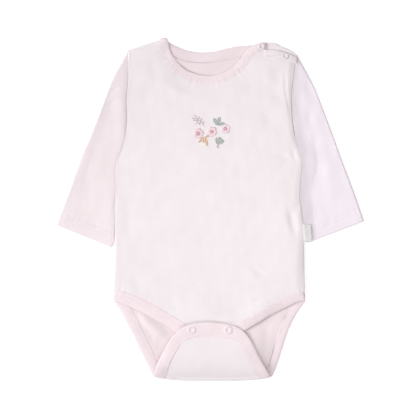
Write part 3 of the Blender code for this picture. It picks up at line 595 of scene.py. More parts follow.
def near_path(x, y, path):
    """(signed distance to a chain, positive to its left; share of its length) for arrays of points."""
    path = np.asarray(path, float)
    a, b = path[:-1], path[1:]
    step = b - a
    size = np.maximum((step**2).sum(axis=1), 1e-12)
    lengths = np.concatenate([[0.0], np.cumsum(np.sqrt(size))])
    best = np.full(x.shape, 1e18)
    side = np.zeros(x.shape)
    share = np.zeros(x.shape)
    for n in range(len(a)):
        px, py = x - a[n, 0], y - a[n, 1]
        t = np.clip((px * step[n, 0] + py * step[n, 1]) / size[n], 0.0, 1.0)
        dx, dy = px - t * step[n, 0], py - t * step[n, 1]
        away = dx * dx + dy * dy
        closer = away < best
        best = np.where(closer, away, best)
        side = np.where(closer, np.sign(step[n, 0] * py - step[n, 1] * px), side)
        share = np.where(closer, (lengths[n] + t * math.sqrt(size[n])) / lengths[-1], share)
    return side * np.sqrt(best), share


# ---- the lie of the body

SIDE_KEYS = [-side.y for side in BODY_SIDES]
LEFT_SIDE = table(SIDE_KEYS, [side.left for side in BODY_SIDES])
RIGHT_SIDE = table(SIDE_KEYS, [side.right for side in BODY_SIDES])
SHOULDER_RIGHT = table(*zip(*RIGHT_SHOULDER))
SHOULDER_LEFT = table(*zip(*LEFT_SHOULDER_FRONT))
SHOULDER_BACK = table(*zip(*LEFT_SHOULDER_BACK))


def body_side(y, side):
    """x of the side seam or armhole seam at a height on the body. side is -1 or 1."""
    return (LEFT_SIDE if side < 0 else RIGHT_SIDE)(-np.asarray(y, float))


NECK_CURVE = curve_through(NECK_EDGE, 120)
NECK_SEAM = inner_edge(NECK_CURVE, -1)
FRONT_LEG_CURVE = curve_through(FRONT_LEG_EDGE, 160)
FRONT_LEG_SEAM = inner_edge(FRONT_LEG_CURVE, 1)
BACK_NECK_SEAM = inner_edge(curve_through(BACK_NECK_EDGE, 30), -1)
FLAP_TOP_CURVE = curve_through([(x, y) for x, y, _ in FLAP_EDGE[1:-1]], 40)


def share_across(x, y):
    left = body_side(y, -1)
    return (x - left) / (body_side(y, 1) - left)


def fold_sum(folds, x, y):
    """What the folds take from the height at points."""
    total = np.zeros(np.shape(x))
    for fold in folds:
        path = curve_through(fold.points, FOLD_STEPS)
        margin = FOLD_REACH * fold.width
        low, high = path.min(axis=0) - margin, path.max(axis=0) + margin
        near = (x > low[0]) & (x < high[0]) & (y > low[1]) & (y < high[1])
        if not near.any():
            continue
        away, share = near_path(x[near], y[near], path)
        width = fold.width * np.where(away > 0, 1.0 + fold.lean, 1.0 - fold.lean)
        q = (away / width) ** 2
        taper = eased(share / fold.fade) * eased((1.0 - share) / fold.fade)
        shape = (np.exp(-q) - FOLD_RIM * np.exp(-q / 4.0)) / (1.0 - FOLD_RIM)
        total[near] += fold.depth * taper * shape
    return total


def swell_sum(swells, x, y):
    total = np.zeros(np.shape(x))
    for swell in swells:
        away = ((x - swell.x) / swell.reach_x) ** 2 + ((y - swell.y) / swell.reach_y) ** 2
        total += swell.height * np.exp(-away)
    return total


def wave_sum(x, y):
    total = np.zeros(np.shape(x))
    for wave in WAVES:
        angle = math.radians(wave.heading)
        along = x * math.cos(angle) + y * math.sin(angle)
        total += wave.height * np.sin(2 * math.pi * along / wave.length + wave.phase)
    return total


def pucker(x, y, seam):
    """Small ripples where the cloth is gathered slightly onto a seam."""
    away, share = near_path(x, y, seam)
    phase = 2 * math.pi * share * lengths_along(seam)[-1] / PUCKER_LENGTH
    ripple = np.sin(phase + 0.9 * np.sin(phase * 0.37)) * (0.7 + 0.3 * np.sin(phase * 0.23))
    return PUCKER_HEIGHT * ripple * np.exp(-((away / PUCKER_REACH) ** 2))


def fallen(rolls, y, away, least):
    """How far the front has fallen at a distance from its side, never lower than least."""
    wall, radius, crest, near, reach, bulge = (column(rolls, name, y) for name in Roll._fields[1:])
    away = np.maximum(away, 0.0)
    fall = wall * (1.0 - eased(away / WALL_DEPTH))
    fall = fall + crest * (1.0 - rise(away, radius))
    fall = fall + near * (1.0 - swung(away / reach))
    fall = fall - bulge * np.exp(-(((away - BULGE_AT) / BULGE_AT) ** 2))
    whole = wall + crest + near - bulge * math.exp(-1.0)
    return fall * np.minimum(1.0, (FRONT_HIGH - least) / np.maximum(whole, 0.1))


def opening_drop(x, y, height):
    """The front comes down towards its neck and leg openings."""
    neck = mix(NECK_MID, NECK_MID_HIGH, ramp(y, *NECK_RISE))
    leg = mix(LEG_MID[0], LEG_MID[1], ramp(x, *LEG_RISE) * ramp(-x, *LEG_FALL))
    leg = mix(leg, HIP_MID, ramp(np.abs(x), *HIP_FROM))
    at_neck, at_leg = y > NECK_ABOVE, y < LEG_BELOW
    openings = (neck, NECK_CURVE, NECK_REACH, at_neck), (leg, FRONT_LEG_CURVE, LEG_REACH, at_leg)
    for low, curve, reach, near in openings:
        away = np.where(near, np.abs(near_path(x, y, curve[::4])[0]), FAR)
        height = mix(np.minimum(low, height), height, swung(away / reach))
    return height


def front_base(x, y):
    """Height of the front's middle surface without its folds, and how freely folds may form there."""
    least = mix(HIP_MID, EDGE_LEAST, ramp(y, *HIP_RISE))
    left = x - body_side(y, -1) - CLOTH / 2
    right = body_side(y, 1) - x - CLOTH / 2
    height = FRONT_HIGH - fallen(RIGHT_ROLLS, y, left, least) - fallen(LEFT_ROLLS, y, right, least)
    inside = np.clip(np.minimum(left, right) / 5.0, 0.0, 1.0)
    lap = np.where(x < 0, FRONT_LOW, SHOULDER_LAP)
    line = np.where(x < 0, SHOULDER_RIGHT(x), SHOULDER_LEFT(x))
    top = np.where(x < 0, *(rise(line - y, SHOULDER_ROLL, roundness) for roundness in SHOULDER_ROUNDNESS))
    lowered = np.minimum(height, mix(lap, height, top))
    away = np.where(y > SHOULDER_Y, ramp(np.abs(x), *SHOULDER_FROM), 0.0)
    height = mix(height, lowered, away)
    height = height + swell_sum(FRONT_SWELLS, x, y) * inside
    height = opening_drop(x, y, height)
    above, _ = near_path(x, y, FLAP_TOP_CURVE)
    above = np.where(y < FLAP_BELOW, above, FAR)
    tab = eased(1.0 - (above - TAB_START) / TAB_EASE) * eased((TAB_HALF - np.abs(x)) / 6.0)
    return mix(height, TAB_MID, tab), inside * (1.0 - tab)


def front_height(x, y):
    """Height of the front's middle surface."""
    x, y = np.asarray(x, float), np.asarray(y, float)
    height, inside = front_base(x, y)
    loose = eased(inside * 1.5)
    height = height - fold_sum(FRONT_FOLDS, x, y) * loose + wave_sum(x, y) * loose
    return height + pucker(x, y, NECK_SEAM[::3]) * loose + pucker(x, y, FRONT_LEG_SEAM[::4]) * loose


# ---- meshes


def add_object(name, data):
    made = bpy.data.objects.new(name, data)
    bpy.context.scene.collection.objects.link(made)
    return made


def add_mesh(name, points, faces, *materials):
    """A smooth mesh from points in millimetres."""
    mesh = bpy.data.meshes.new(name)
    mesh.from_pydata((np.asarray(points, float).reshape(-1, 3) * MM).tolist(), [], faces)
    mesh.shade_smooth()
    for material in materials:
        mesh.materials.append(material)
    return add_object(name, mesh)


def build(name, grid, *materials, closed=False, capped=False, thickness=CLOTH):
    """A mesh from a grid of points (rings, columns, 3), closed round its columns if asked. A second
    material is for its inside."""
    rings, columns = grid.shape[:2]
    index = np.arange(rings * columns).reshape(rings, columns)
    if closed:
        index = np.hstack([index, index[:, :1]])
    a, b, c, d = index[:-1, :-1], index[:-1, 1:], index[1:, 1:], index[1:, :-1]
    faces = np.stack([a, b, c, d], axis=-1).reshape(-1, 4).tolist()
    if capped:
        faces.append(list(range(columns))[::-1])
        faces.append(list(range((rings - 1) * columns, rings * columns)))
    piece = add_mesh(name, grid, faces, *materials)
    if thickness:
        wall = piece.modifiers.new("wall", "SOLIDIFY")
        wall.thickness = thickness * MM
        wall.offset = 0.0
        wall.use_even_offset = False
        wall.material_offset = len(materials) - 1
    return piece


def finish_piece(piece, slot, *nodes):
    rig.ride(piece, "root")
    if nodes:
        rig.replaces(piece, *nodes)
    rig.slot(piece, slot)


def spread(count, crowding):
    """Shares from 0 to 1 that crowd towards both ends."""
    t = in_steps(count)
    return mix(t, 0.5 - 0.5 * np.cos(math.pi * t), crowding)


def top_points(right_shoulder, neck, left_shoulder, shoulder_steps, neck_steps):
    """Points along a panel's top, from shoulder to shoulder, whose x always rises."""
    crowded = in_steps(shoulder_steps) ** SHOULDER_CROWDING
    right = evenly(right_shoulder, crowded)
    left = evenly(left_shoulder[::-1], crowded)[::-1]
    neck = evenly(neck, in_steps(neck_steps))
    joins = ((right[-1], neck[0]), (neck[-1], left[0]))
    before, after = (evenly(pair, in_steps(6))[1:-1] for pair in joins)
    top = np.vstack([right, before, neck, after, left])
    steps = np.arange(len(top)) * LEAST_STEP
    top[:, 0] = np.maximum.accumulate(top[:, 0] - steps) + steps
    return top


# ---- materials


class Look:
    """A material's nodes. A node's inputs are numbers, colours or other nodes' sockets."""

    def __init__(self, name, **inputs):
        self.material = bpy.data.materials.new(name)
        self.material.use_nodes = True
        self.tree = self.material.node_tree
        self.shader = self.tree.nodes["Principled BSDF"]
        self.fill(self.shader, inputs)
        self.place = self.node("TexCoord").outputs["Object"]

    def fill(self, made, inputs):
        for key, value in inputs.items():
            if isinstance(value, bpy.types.NodeSocket):
                self.tree.links.new(value, made.inputs[key])
            else:
                made.inputs[key].default_value = value

    def node(self, kind, **inputs):
        made = self.tree.nodes.new("ShaderNode" + kind)
        self.fill(made, inputs)
        return made

    def math(self, operation, *values):
        made = self.node("Math")
        made.operation = operation
        self.fill(made, dict(enumerate(values)))
        return made.outputs[0]

    def sum(self, a, share_a, b, share_b):
        return self.math("ADD", self.math("MULTIPLY", a, share_a), self.math("MULTIPLY", b, share_b))

    def noise(self, scale, detail, roughness=0.5, place=None):
        settings = {"Scale": scale, "Detail": detail, "Roughness": roughness}
        return self.node("TexNoise", Vector=place or self.place, **settings).outputs["Fac"]

    def colour(self, value, low, high):
        """The base colour, from low to high as a noise's value goes from 0.3 to 0.7."""
        ramp = self.node("ValToRGB", Fac=value)
        for element, position, colour in zip(ramp.color_ramp.elements, (0.3, 0.7), (low, high)):
            element.position = position
            element.color = (*colour, 1.0)
        self.fill(self.shader, {"Base Color": ramp.outputs[0]})

    def bump(self, height, strength, distance):
        raised = self.node("Bump", Height=height, Strength=strength, Distance=distance)
        self.fill(self.shader, {"Normal": raised.outputs[0]})

    def knit(self, heading):
        """Height of a knit of V-shaped loops in columns."""
        turn = (0.0, 0.0, math.radians(heading))
        turned = self.node("Mapping", Vector=self.place, Rotation=turn).outputs[0]
        wobble = self.math("MULTIPLY", self.noise(420.0, 1.0, place=turned), 0.5)
        split = self.node("SeparateXYZ", Vector=turned).outputs
        across = self.math("ADD", self.math("DIVIDE", split[0], WALE * MM), wobble)
        along = self.math("ADD", self.math("DIVIDE", split[1], COURSE * MM), wobble)
        cell = self.math("ABSOLUTE", self.math("SUBTRACT", self.math("FRACT", across), 0.5))
        slanted = self.math("SUBTRACT", along, self.math("MULTIPLY", cell, 1.4))
        loops = self.math("SINE", self.math("MULTIPLY", slanted, 2 * math.pi))
        ribs = self.math("SUBTRACT", 1.0, self.math("POWER", self.math("MULTIPLY", cell, 2.0), 2.0))
        return self.math("ADD", self.math("MULTIPLY", loops, 0.35), ribs)


def cloth_material(name, colour, heading=0.0, mottle=0.02):
    """Jersey: knit loops and fibre fuzz as bump, with a slight mottle of its colour."""
    finish = {"Roughness": 0.85, "Specular IOR Level": 0.2, "Sheen Weight": 0.25, "Sheen Roughness": 0.5}
    look = Look(name, **finish)
    fuzz = look.noise(2600.0, 4.0, 0.65)
    look.bump(look.sum(look.knit(heading), 0.5, fuzz, 0.08), 0.25, 0.0004)
    low = [c * (1.0 - mottle * (1.0 + 0.6 * n)) for n, c in zip((0, 1, 0.8), colour)]
    high = [min(c * (1.0 + mottle), 1.0) for c in colour]
    look.colour(look.sum(look.noise(55.0, 3.0, 0.6), 0.55, look.noise(900.0, 2.0), 0.45), low, high)
    return look.material


def plain_material(name, colour, roughness, scale, bump, mottle=0.03, **inputs):
    look = Look(name, Roughness=roughness, **inputs)
    noise = look.noise(scale, 3.0)
    look.colour(noise, [c * (1.0 - mottle) for c in colour], [min(c * (1.0 + mottle), 1.0) for c in colour])
    look.bump(noise, bump, 0.0002)
    return look.material


BODY_JERSEY = cloth_material("body_jersey", (0.892, 0.824, 0.846))
# The inner faces' darker, rosier colour is painted shade: it stands in for the shade and pink bounce light inside the
# neck and leg openings.
INNER_JERSEY_PAINTED_SHADE = cloth_material("inner_jersey", (0.885, 0.775, 0.80))
RIGHT_JERSEY = cloth_material("right_sleeve_jersey", (0.905, 0.81, 0.838), -22.0)
# The left sleeve's lilac tint is painted shade: that sleeve lies on the side away from the key light.
LEFT_JERSEY_PAINTED_SHADE = cloth_material("left_sleeve_jersey", (0.88, 0.805, 0.862), 21.0)
TRIM = cloth_material("trim_jersey", (0.902, 0.787, 0.820), mottle=0.03)
THREAD = plain_material("thread", (0.90, 0.775, 0.81), 0.6, 3000.0, 0.2)
SNAP_RING = plain_material("snap_ring", (0.86, 0.77, 0.83), 0.35, 300.0, 0.03)
# The label's light grey is painted shade: white satin darkened to how it looks in the body's shadow.
SATIN_PAINTED_SHADE = plain_material("label_satin", (0.80, 0.77, 0.78), 0.45, 2200.0, 0.15)


# ---- front


def add_front():
    neck = inner_edge(NECK_CURVE, -1, UNDER)
    top = top_points(RIGHT_SHOULDER, neck[2:-2], LEFT_SHOULDER_FRONT, *FRONT_TOP_STEPS)
    shares = np.clip(share_across(top[:, 0], top[:, 1]), 0.0, 1.0)
    leg = inner_edge(FRONT_LEG_CURVE, 1, UNDER)
    leg_shares = share_across(leg[:, 0], leg[:, 1])
    order = np.argsort(leg_shares)
    bottom = np.interp(shares, leg_shares[order], leg[order, 1])
    y = mix(bottom[None, :], top[None, :, 1], spread(FRONT_ROWS, FRONT_CROWDING)[:, None])
    inset = mix(CLOTH / 2, SEAM_GAP, ramp(y, *OPEN_SIDE))
    x = mix(body_side(y, -1) + inset, body_side(y, 1) - inset, shares[None, :])
    grid = np.stack([x, y, front_height(x, y)], axis=-1)
    finish_piece(build("front_cloth", grid, BODY_JERSEY, INNER_JERSEY_PAINTED_SHADE), "jersey", "front_panel")


# ---- back, fold and flap


def fold_start(x):
    return FOLD_LINE + FOLD_LIFT * np.minimum(np.abs(x - FOLD_MIDDLE_X) / FOLD_HALF, 1.0) ** 4


FLAP_KEYS = [-188.0, -172.0, -154.0, -137.4, -128.8, -126.0]
FLAP_LEFT = table(FLAP_KEYS, [-65.0, -58.4, -49.6, -38.0, -22.4, -4.0])
FLAP_RIGHT = table(FLAP_KEYS, [70.6, 59.0, 49.4, 39.0, 26.0, 10.0])


def flap_height(x, y):
    """Height of the flap's middle surface: a soft dome, lower at its bound sides."""
    x, y = np.asarray(x, float), np.asarray(y, float)
    up = np.clip((y - FOLD_LINE) / FLAP_CREST, 0.0, 1.0)
    dome = mix(FOLD_TOP, FLAP_HIGH, 1.0 - (1.0 - up) ** FLAP_ROUNDNESS)
    dome = mix(dome, FLAP_LOW, ramp(y - FOLD_LINE, FLAP_CREST, FLAP_FALL))
    for line, side, low, reach in zip((FLAP_LEFT, FLAP_RIGHT), (1, -1), FLAP_SIDE, FLAP_SIDE_REACH):
        edge = np.minimum(mix(low, FLAP_LOW, ramp(y, *FLAP_SIDE_RISE)), dome)
        dome = mix(edge, dome, swung(side * (x - line(y)) / reach))
    return dome


TURN = math.pi * FOLD_RADIUS  # length of cloth in the fold


def length_below(x, y):
    return fold_start(x) - y


def length_above(x, y):
    return TURN + y - fold_start(x)


def back_point(x, length, lift=0.0):
    """Where developed cloth lies: length is less than 0 on the floor, up to TURN in the fold, and more on
    the flap. lift > 0 moves it to the garment's inside."""
    x, length = np.broadcast_arrays(np.asarray(x, float), np.asarray(length, float))
    start = fold_start(x)
    t = np.clip(length / TURN, 0.0, 1.0)
    top = flap_height(x, start)
    slope = flap_height(x, start + 1.0) - top
    reach = FOLD_RADIUS * FOLD_BULGE
    high = top - FLOOR_MID
    # the fold is a smooth curve from the floor to the flap: four control points in y and z
    ys = (0.0, -reach, -reach, 0.0)
    zs = (0.0, 0.0, np.maximum(high - reach * slope, high * 0.4), high)
    weights = ((1 - t) ** 3, 3 * t * (1 - t) ** 2, 3 * t * t * (1 - t), t**3)
    changes = (-((1 - t) ** 2), (1 - t) ** 2 - 2 * t * (1 - t), 2 * t * (1 - t) - t * t, t * t)
    y = start + sum(w * a for w, a in zip(weights, ys))
    z = FLOOR_MID + sum(w * a for w, a in zip(weights, zs))
    along_y = sum(c * a for c, a in zip(changes, ys))
    along_z = sum(c * a for c, a in zip(changes, zs))
    below, above = length < 0, length > TURN
    y = np.where(below, start - length, y)
    y = np.where(above, start + length - TURN, y)
    flap_slope = flap_height(x, y + 0.5) - flap_height(x, y - 0.5)
    z = np.where(above, flap_height(x, y), z)
    along_y = np.where(below, -1.0, np.where(above, 1.0, along_y))
    along_z = np.where(below, 0.0, np.where(above, flap_slope, along_z))
    size = np.maximum(np.hypot(along_y, along_z), 1e-6)
    return np.stack([x, y + lift * along_z / size, z - lift * along_y / size], axis=-1)


def back_edge():
    """The back's bound edge on its developed cloth: x, length and the tape's width."""

    def developed(edge, length):
        return [(x, float(length(x, y)), width) for x, y, width in edge]

    right, left = ([(x, TURN / 4, FOLD_TAPE_WIDTH)] for x in FOLD_ENDS)
    points = developed(BACK_LEG_RIGHT, length_below) + right + developed(FLAP_EDGE, length_above)
    return curve_through(points + left + developed(BACK_LEG_LEFT[::-1], length_below), 420)


BACK_CURVE = back_edge()


def back_seam(less=0.0):
    seam = inner_edge(BACK_CURVE, -1, less)
    for end, side in ((0, -1), (-1, 1)):
        y = HIP_Y - less
        x = float(body_side(y, side)) - side * HIP_INSET
        seam[end] = (x, float(length_below(x, y)))
    return seam


def back_rise(x, y):
    return swell_sum(BACK_SWELLS, x, y)


def add_back():
    """The back is one grid from its shoulders over the bottom fold to the flap's edge."""
    seam = back_seam(UNDER)
    high = np.nonzero(seam[:, 1] >= TURN + FLAP_SIDES)[0]
    first, last = high[0], high[-1]
    sides = []
    for side, run in ((-1, seam[: first + 1]), (1, seam[last:][::-1])):
        ys = np.linspace(BODY_SIDES[0].y, HIP_Y - UNDER, SIDE_STEPS)
        values = list(body_side(ys, side) - side * CLOTH / 2)
        keys = list(length_below(np.array(values), ys))
        for x, length in run[1:]:
            if length > keys[-1] + LEAST_LENGTH:
                keys.append(length)
                values.append(x)
        sides.append((np.array(keys), np.array(values)))

    def across(x, length):
        left = np.interp(length, *sides[0])
        return (x - left) / (np.interp(length, *sides[1]) - left)

    neck = inner_edge(curve_through(BACK_NECK_EDGE, 100), -1, UNDER)
    top = top_points(RIGHT_SHOULDER, neck[3:], LEFT_SHOULDER_BACK, *BACK_TOP_STEPS)
    flap = seam[first : last + 1]
    flap_shares = across(flap[:, 0], flap[:, 1])
    order = np.argsort(flap_shares)
    lengths = length_below(top[:, 0], top[:, 1])
    shares = np.clip(across(top[:, 0], lengths), 0.0, 1.0)
    ends = np.interp(shares, flap_shares[order], flap[order, 1])
    hip = float(length_below(-FOLD_HALF, HIP_Y))
    stages = []
    for start, end, count in ((lengths, hip, BACK_ROWS), (hip, 0.0, SEAT_ROWS), (0.0, TURN, FOLD_ROWS)):
        stages += [mix(start, end, t) + 0.0 * lengths for t in in_steps(count)[:-1]]
    stages += [mix(TURN, ends, t) for t in in_steps(FLAP_ROWS)]
    length = np.array(stages)
    x = mix(np.interp(length, *sides[0]), np.interp(length, *sides[1]), shares[None, :])
    grid = back_point(x, length)
    x, y = grid[..., 0], grid[..., 1]
    leg, _ = near_path(x, length, back_seam()[::6])
    lift = -fold_sum(BACK_FOLDS, x, y) * ramp(np.abs(leg), *SEAM_CLEAR) + back_rise(x, y)
    for away in (leg, near_path(x, y, BACK_NECK_SEAM)[0]):
        lift = lift + SEAM_LIFT * np.exp(-((away / SEAM_REACH) ** 2))
    lift = np.maximum(lift, 0.0) * eased(-length / SEAT_FADE)
    waves = wave_sum(x + WAVE_SHIFT, y) * ramp(length, TURN, FLAP_FADE)
    grid[..., 2] += lift + np.where(length > TURN, waves, 0.0)
    finish_piece(build("back_cloth", grid, BODY_JERSEY, INNER_JERSEY_PAINTED_SHADE), "jersey", "back_panel")


# ---- tapes

# A tape's section: share of the width from the free edge, share of half its thickness. The two dips are
# the rows of the cover stitch.
TAPE_SECTION = [
    (0, -0.25), (0.008, 0.2), (0.024, 0.55), (0.055, 0.8), (0.11, 0.95), (0.22, 1.05), (0.35, 1.12),
    (0.5, 1.06), (0.6, 0.98), (0.65, 0.88), (0.7, 0.94), (0.8, 0.9), (0.87, 0.8), (0.91, 0.62),
    (0.95, 0.66), (0.985, 0.6), (1, 0.35), (1, -0.2), (0.985, -0.56), (0.95, -0.66), (0.91, -0.62),
    (0.86, -0.8), (0.72, -0.94), (0.65, -0.86), (0.58, -0.96), (0.35, -1), (0.12, -0.95), (0.03, -0.6),
]
Tape = namedtuple("Tape", "name node outer inner place thick round_ends", defaults=(TAPE, 0.0))


def tape_grid(tape):
    """Rings of a tape between its free edge and its seam."""
    at = np.arange(len(tape.outer))
    wobble = 0.25 * (np.sin(at * 0.21 + 1.0) + 0.6 * np.sin(at * 0.47 + 2.2)) * 0.5
    free = tape.outer[:, :2] + unit(tape.outer[:, :2] - tape.inner) * wobble[:, None]
    swell = 1.0 + 0.05 * np.sin(at * 0.33 + 0.7)
    rings = []
    for share, up in TAPE_SECTION:
        a = mix(free, tape.inner, share)
        rings.append(tape.place(a[:, 0], a[:, 1], up * tape.thick / 2 * swell))
    grid = np.stack(rings, axis=1)
    share = np.array([share for share, _ in TAPE_SECTION])
    for end, ahead in ((0, 1), (-1, -2)):
        bulge = tape.round_ends * 4.0 * share * (1.0 - share)
        grid[end] += unit(grid[end] - grid[ahead]) * bulge[:, None]
    return grid


def front_tape_mid(x, y):
    """A front tape's middle height: it clears the back's tapes where it crosses them."""
    over_leg = np.where(y < 0, ramp(np.abs(x), *OVER_LEG), 0.0)
    least = mix(CLOTH + TAPE / 2 + 0.2, TAPE * 1.5 + 0.25, over_leg)
    band = mix(CLOTH + NECK_TAPE / 2 + 0.1, NECK_TAPE * 1.5 + 0.1, ramp(y, *OVER_BAND))
    band = back_rise(x, y) + band
    least = np.where(y > NECK_ABOVE, band, least)
    return np.maximum(front_height(x, y), least)


def front_tape_place(x, y, lift):
    return np.stack([x, y, front_tape_mid(x, y) + lift], axis=-1)


def back_neck_place(x, y, lift):
    return np.stack([x, y, NECK_TAPE / 2 + back_rise(x, y) + lift], axis=-1)


def back_tape_place(x, length, lift):
    inner = back_point(x, length, TAPE / 2 - FLOOR_MID - np.minimum(lift, TAPE / 2))
    on_flap = np.clip((length - TURN * 0.3) / (TURN * 0.5), 0.0, 1.0)
    centred = back_point(x, length, -lift)
    return mix(inner, centred, on_flap[:, None])


def cut_tape(name, node, edge, side, count, *rest):
    outer = curve_through(edge, count)
    return Tape(name, node, outer, inner_edge(outer, side, TAPE_OVER), *rest)


BACK_LEG_TAPE = Tape("back_leg", "back_leg_binding", BACK_CURVE, back_seam(TAPE_OVER), back_tape_place)
TAPES = [
    cut_tape("neckband_front", "neckband_front", NECK_EDGE, -1, 150, front_tape_place, NECK_TAPE, 1.3),
    cut_tape("neckband_back", "neckband_back", BACK_NECK_EDGE, -1, 90, back_neck_place, NECK_TAPE),
    cut_tape("front_leg", "front_leg_binding", FRONT_LEG_EDGE, 1, 170, front_tape_place),
    BACK_LEG_TAPE,
]


def add_tapes():
    for tape in TAPES:
        piece = build(tape.name + "_tape", tape_grid(tape), TRIM, closed=True, capped=True, thickness=0)
        finish_piece(piece, "rib", tape.node)


# ---- sleeves

# How a sleeve lies from its armhole (0) to its cuff (1): the height inside its outer fold, the lowest part
# and how far that is from the inner fold, the height at the inner fold, the radii of both folds, and the
# share of the inner one that stands upright against the body
Lie = namedtuple("Lie", "t outer dip dip_from inner outer_radius inner_radius wall")
RIGHT_LIE = rows(
    Lie,
    (0, 5.2, 5, 34, 5, 1.8, 1.3, 0.8), (0.13, 5.6, 4.9, 34, 4.9, 1.8, 1.2, 0.8),
    (0.35, 6.6, 4.8, 26, 4.9, 1.8, 1.1, 0.82), (0.8, 6.8, 4.7, 24, 4.8, 1.8, 1.1, 0.82),
    (1, 5.6, 4.4, 24, 4.5, 1.8, 1.3, 0.7),
)
LEFT_LIE = rows(
    Lie,
    (0, 3.4, 2.2, 40, 1.8, 1.8, 1, 0.9), (0.1, 3.5, 2, 30, 1.75, 1.8, 0.9, 0.94),
    (0.3, 3.6, 1.75, 18, 1.7, 1.8, 0.7, 0.96), (0.8, 3.7, 1.75, 16, 1.7, 1.8, 0.7, 0.96),
    (1, 3.7, 2.1, 16, 2, 1.8, 1.2, 0.9),
)
# Down a sleeve's inner side: the height of its cloth at the armhole, how much more (or less) it stands up
# against the body, over what reach that dies away, and by what power
Press = namedtuple("Press", "y seam up reach power")
RIGHT_PRESS = rows(
    Press,
    (176, 1.8, 0, 6, 2.2), (170, 3.4, 0, 6, 2.2), (165, 4.6, -0.4, 6, 2.2), (160, 4.9, -0.7, 6, 2.2),
    (145, 5, -1.1, 7, 2.2), (120, 5.1, -1.5, 7, 2.2), (80, 5.1, -1.4, 7, 2.2), (54, 5, -0.8, 6, 2),
    (-20, 5, -0.6, 5.5, 1.8), (-42, 4.6, 0, 8, 1.4),
)
LEFT_PRESS = rows(
    Press,
    (176, 2.2, 0.84, 8, 2), (170, 2.5, 0.85, 8, 2), (165, 2.6, 0.92, 8, 2), (160, 2.6, 1.15, 8.5, 2),
    (150, 2.6, 1.58, 10.5, 1.8), (135, 2.4, 1.97, 11, 1.8), (120, 2.25, 2.14, 11, 1.8),
    (100, 2.2, 2.21, 12, 1.7), (89, 1.9, 2.37, 14, 1.6), (66, 1.75, 2.96, 18, 1.3),
    (50, 1.75, 2.81, 17, 1.4), (20, 1.7, 2.84, 14, 1.4), (-20, 1.75, 2.83, 13, 1.4),
    (-28, 1.8, 2.78, 13, 1.4), (-38, 2, 2.20, 13, 1.4),
)
# cuff_y is the inner corner of the cuff, and rise is the share of the length over which the cloth leaves
# the armhole's heights
Sleeve = namedtuple("Sleeve", "name side cuff_y rise edge folds lies press cloth")
SLEEVES = rows(
    Sleeve,
    (
        "right_sleeve", -1, -41.6, 0.10,
        RIGHT_SLEEVE, RIGHT_SLEEVE_FOLDS, RIGHT_LIE, RIGHT_PRESS, RIGHT_JERSEY,
    ),
    ("left_sleeve", 1, -36.6, 0.08, LEFT_SLEEVE, LEFT_SLEEVE_FOLDS, LEFT_LIE, LEFT_PRESS, LEFT_JERSEY_PAINTED_SHADE),
)
SLEEVE_TOP = SLEEVE_BOTTOM_STEPS + 3  # the first column of a sleeve's top


def sleeve_height(sleeve, t, across, length, x, y):
    """Height of a sleeve's top, at a share t of its length, across from its outer to its inner fold."""
    lie = Lie(*[np.interp(t, [row.t for row in sleeve.lies], values) for values in zip(*sleeve.lies)])
    seam, up, reach, power = (column(sleeve.press, name, y) for name in Press._fields[1:])
    back = length - across
    to_dip = np.clip(across / max(length - lie.dip_from, 1.0), 0.0, 1.0)
    from_dip = np.clip(1.0 - back / lie.dip_from, 0.0, 1.0)
    lay = lie.dip + (lie.outer - lie.dip) * (1.0 - to_dip) ** 1.3
    lay = lay + (lie.inner - lie.dip) * (1.0 - np.cos(from_dip * math.pi / 2))
    near = eased(t / sleeve.rise)
    away = np.maximum(sleeve.side * (x - body_side(y, sleeve.side)), 0.0)
    lay = mix(seam, lay, near) + up * (1.0 - np.clip(away / reach, 0.0, 1.0)) ** power
    start = FLOOR_MID + SLEEVE_CURL
    outer = rise(across, lie.outer_radius)
    inner = lie.wall * eased(back / WALL_DEPTH) + (1.0 - lie.wall) * rise(back, lie.inner_radius)
    soft = near * eased(np.minimum(across, back) / 6.0)
    height = start + (lay - start) * outer * inner - fold_sum(sleeve.folds, x, y) * soft
    return np.maximum(height + wave_sum(x + 70.0, y - 30.0) * soft, start)


def sleeve_grid(sleeve):
    """Rings of a sleeve's tube. Each goes out along its underside and comes back along its top."""
    side, arm = sleeve.side, sleeve.edge[0]
    rings = []
    inset = SLEEVE_CURL + CLOTH / 2
    turns = np.radians([30.0, 60.0])
    curl_in = inset - SLEEVE_CURL * np.sin(turns)
    curl_up = FLOOR_MID + SLEEVE_CURL * (1.0 - np.cos(turns))
    for n, (ox, oy) in enumerate(curve_through(sleeve.edge, SLEEVE_LENGTHS)):
        t = n / SLEEVE_LENGTHS
        iy = mix(UNDERARM_Y, sleeve.cuff_y, t)
        part = ARMHOLE_PART + CUFF_PART * max((t - CUFF_PART_FROM) / (1.0 - CUFF_PART_FROM), 0.0) ** 2
        ix = float(body_side(iy, side)) + side * float(part)
        length = math.dist((ox, oy), (ix, iy))
        bottom = mix(length - inset, inset, in_steps(SLEEVE_BOTTOM_STEPS))
        top = mix(CLOTH / 2, length - CLOTH / 2, spread(SLEEVE_TOP_STEPS, SLEEVE_CROWDING))
        top = np.append(top[:-1], [length - CLOTH / 2 + CORNER, length - CLOTH / 2])
        share = np.concatenate([bottom, curl_in, top, length - curl_in[::-1]]) / length
        x, y = mix(ox, ix, share), mix(oy, iy, share)
        if t < SLEEVE_BLEND:
            seam_x = body_side(mix(arm.y, UNDERARM_Y, share), side) + side * ARMHOLE_PART
            straight = mix(arm.x, float(body_side(UNDERARM_Y, side)), share)
            x = x + float(eased(1.0 - t / SLEEVE_BLEND)) * (seam_x - straight)
        across = top - CLOTH / 2
        across[-2] = length - CLOTH - WALL_DEPTH
        z_top = sleeve_height(sleeve, t, across, length - CLOTH, x[SLEEVE_TOP:-2], y[SLEEVE_TOP:-2])
        z = np.concatenate([np.full(len(bottom), FLOOR_MID), curl_up, z_top, curl_up[::-1]])
        rings.append(np.stack([x, y, z], axis=-1))
    return np.array(rings)


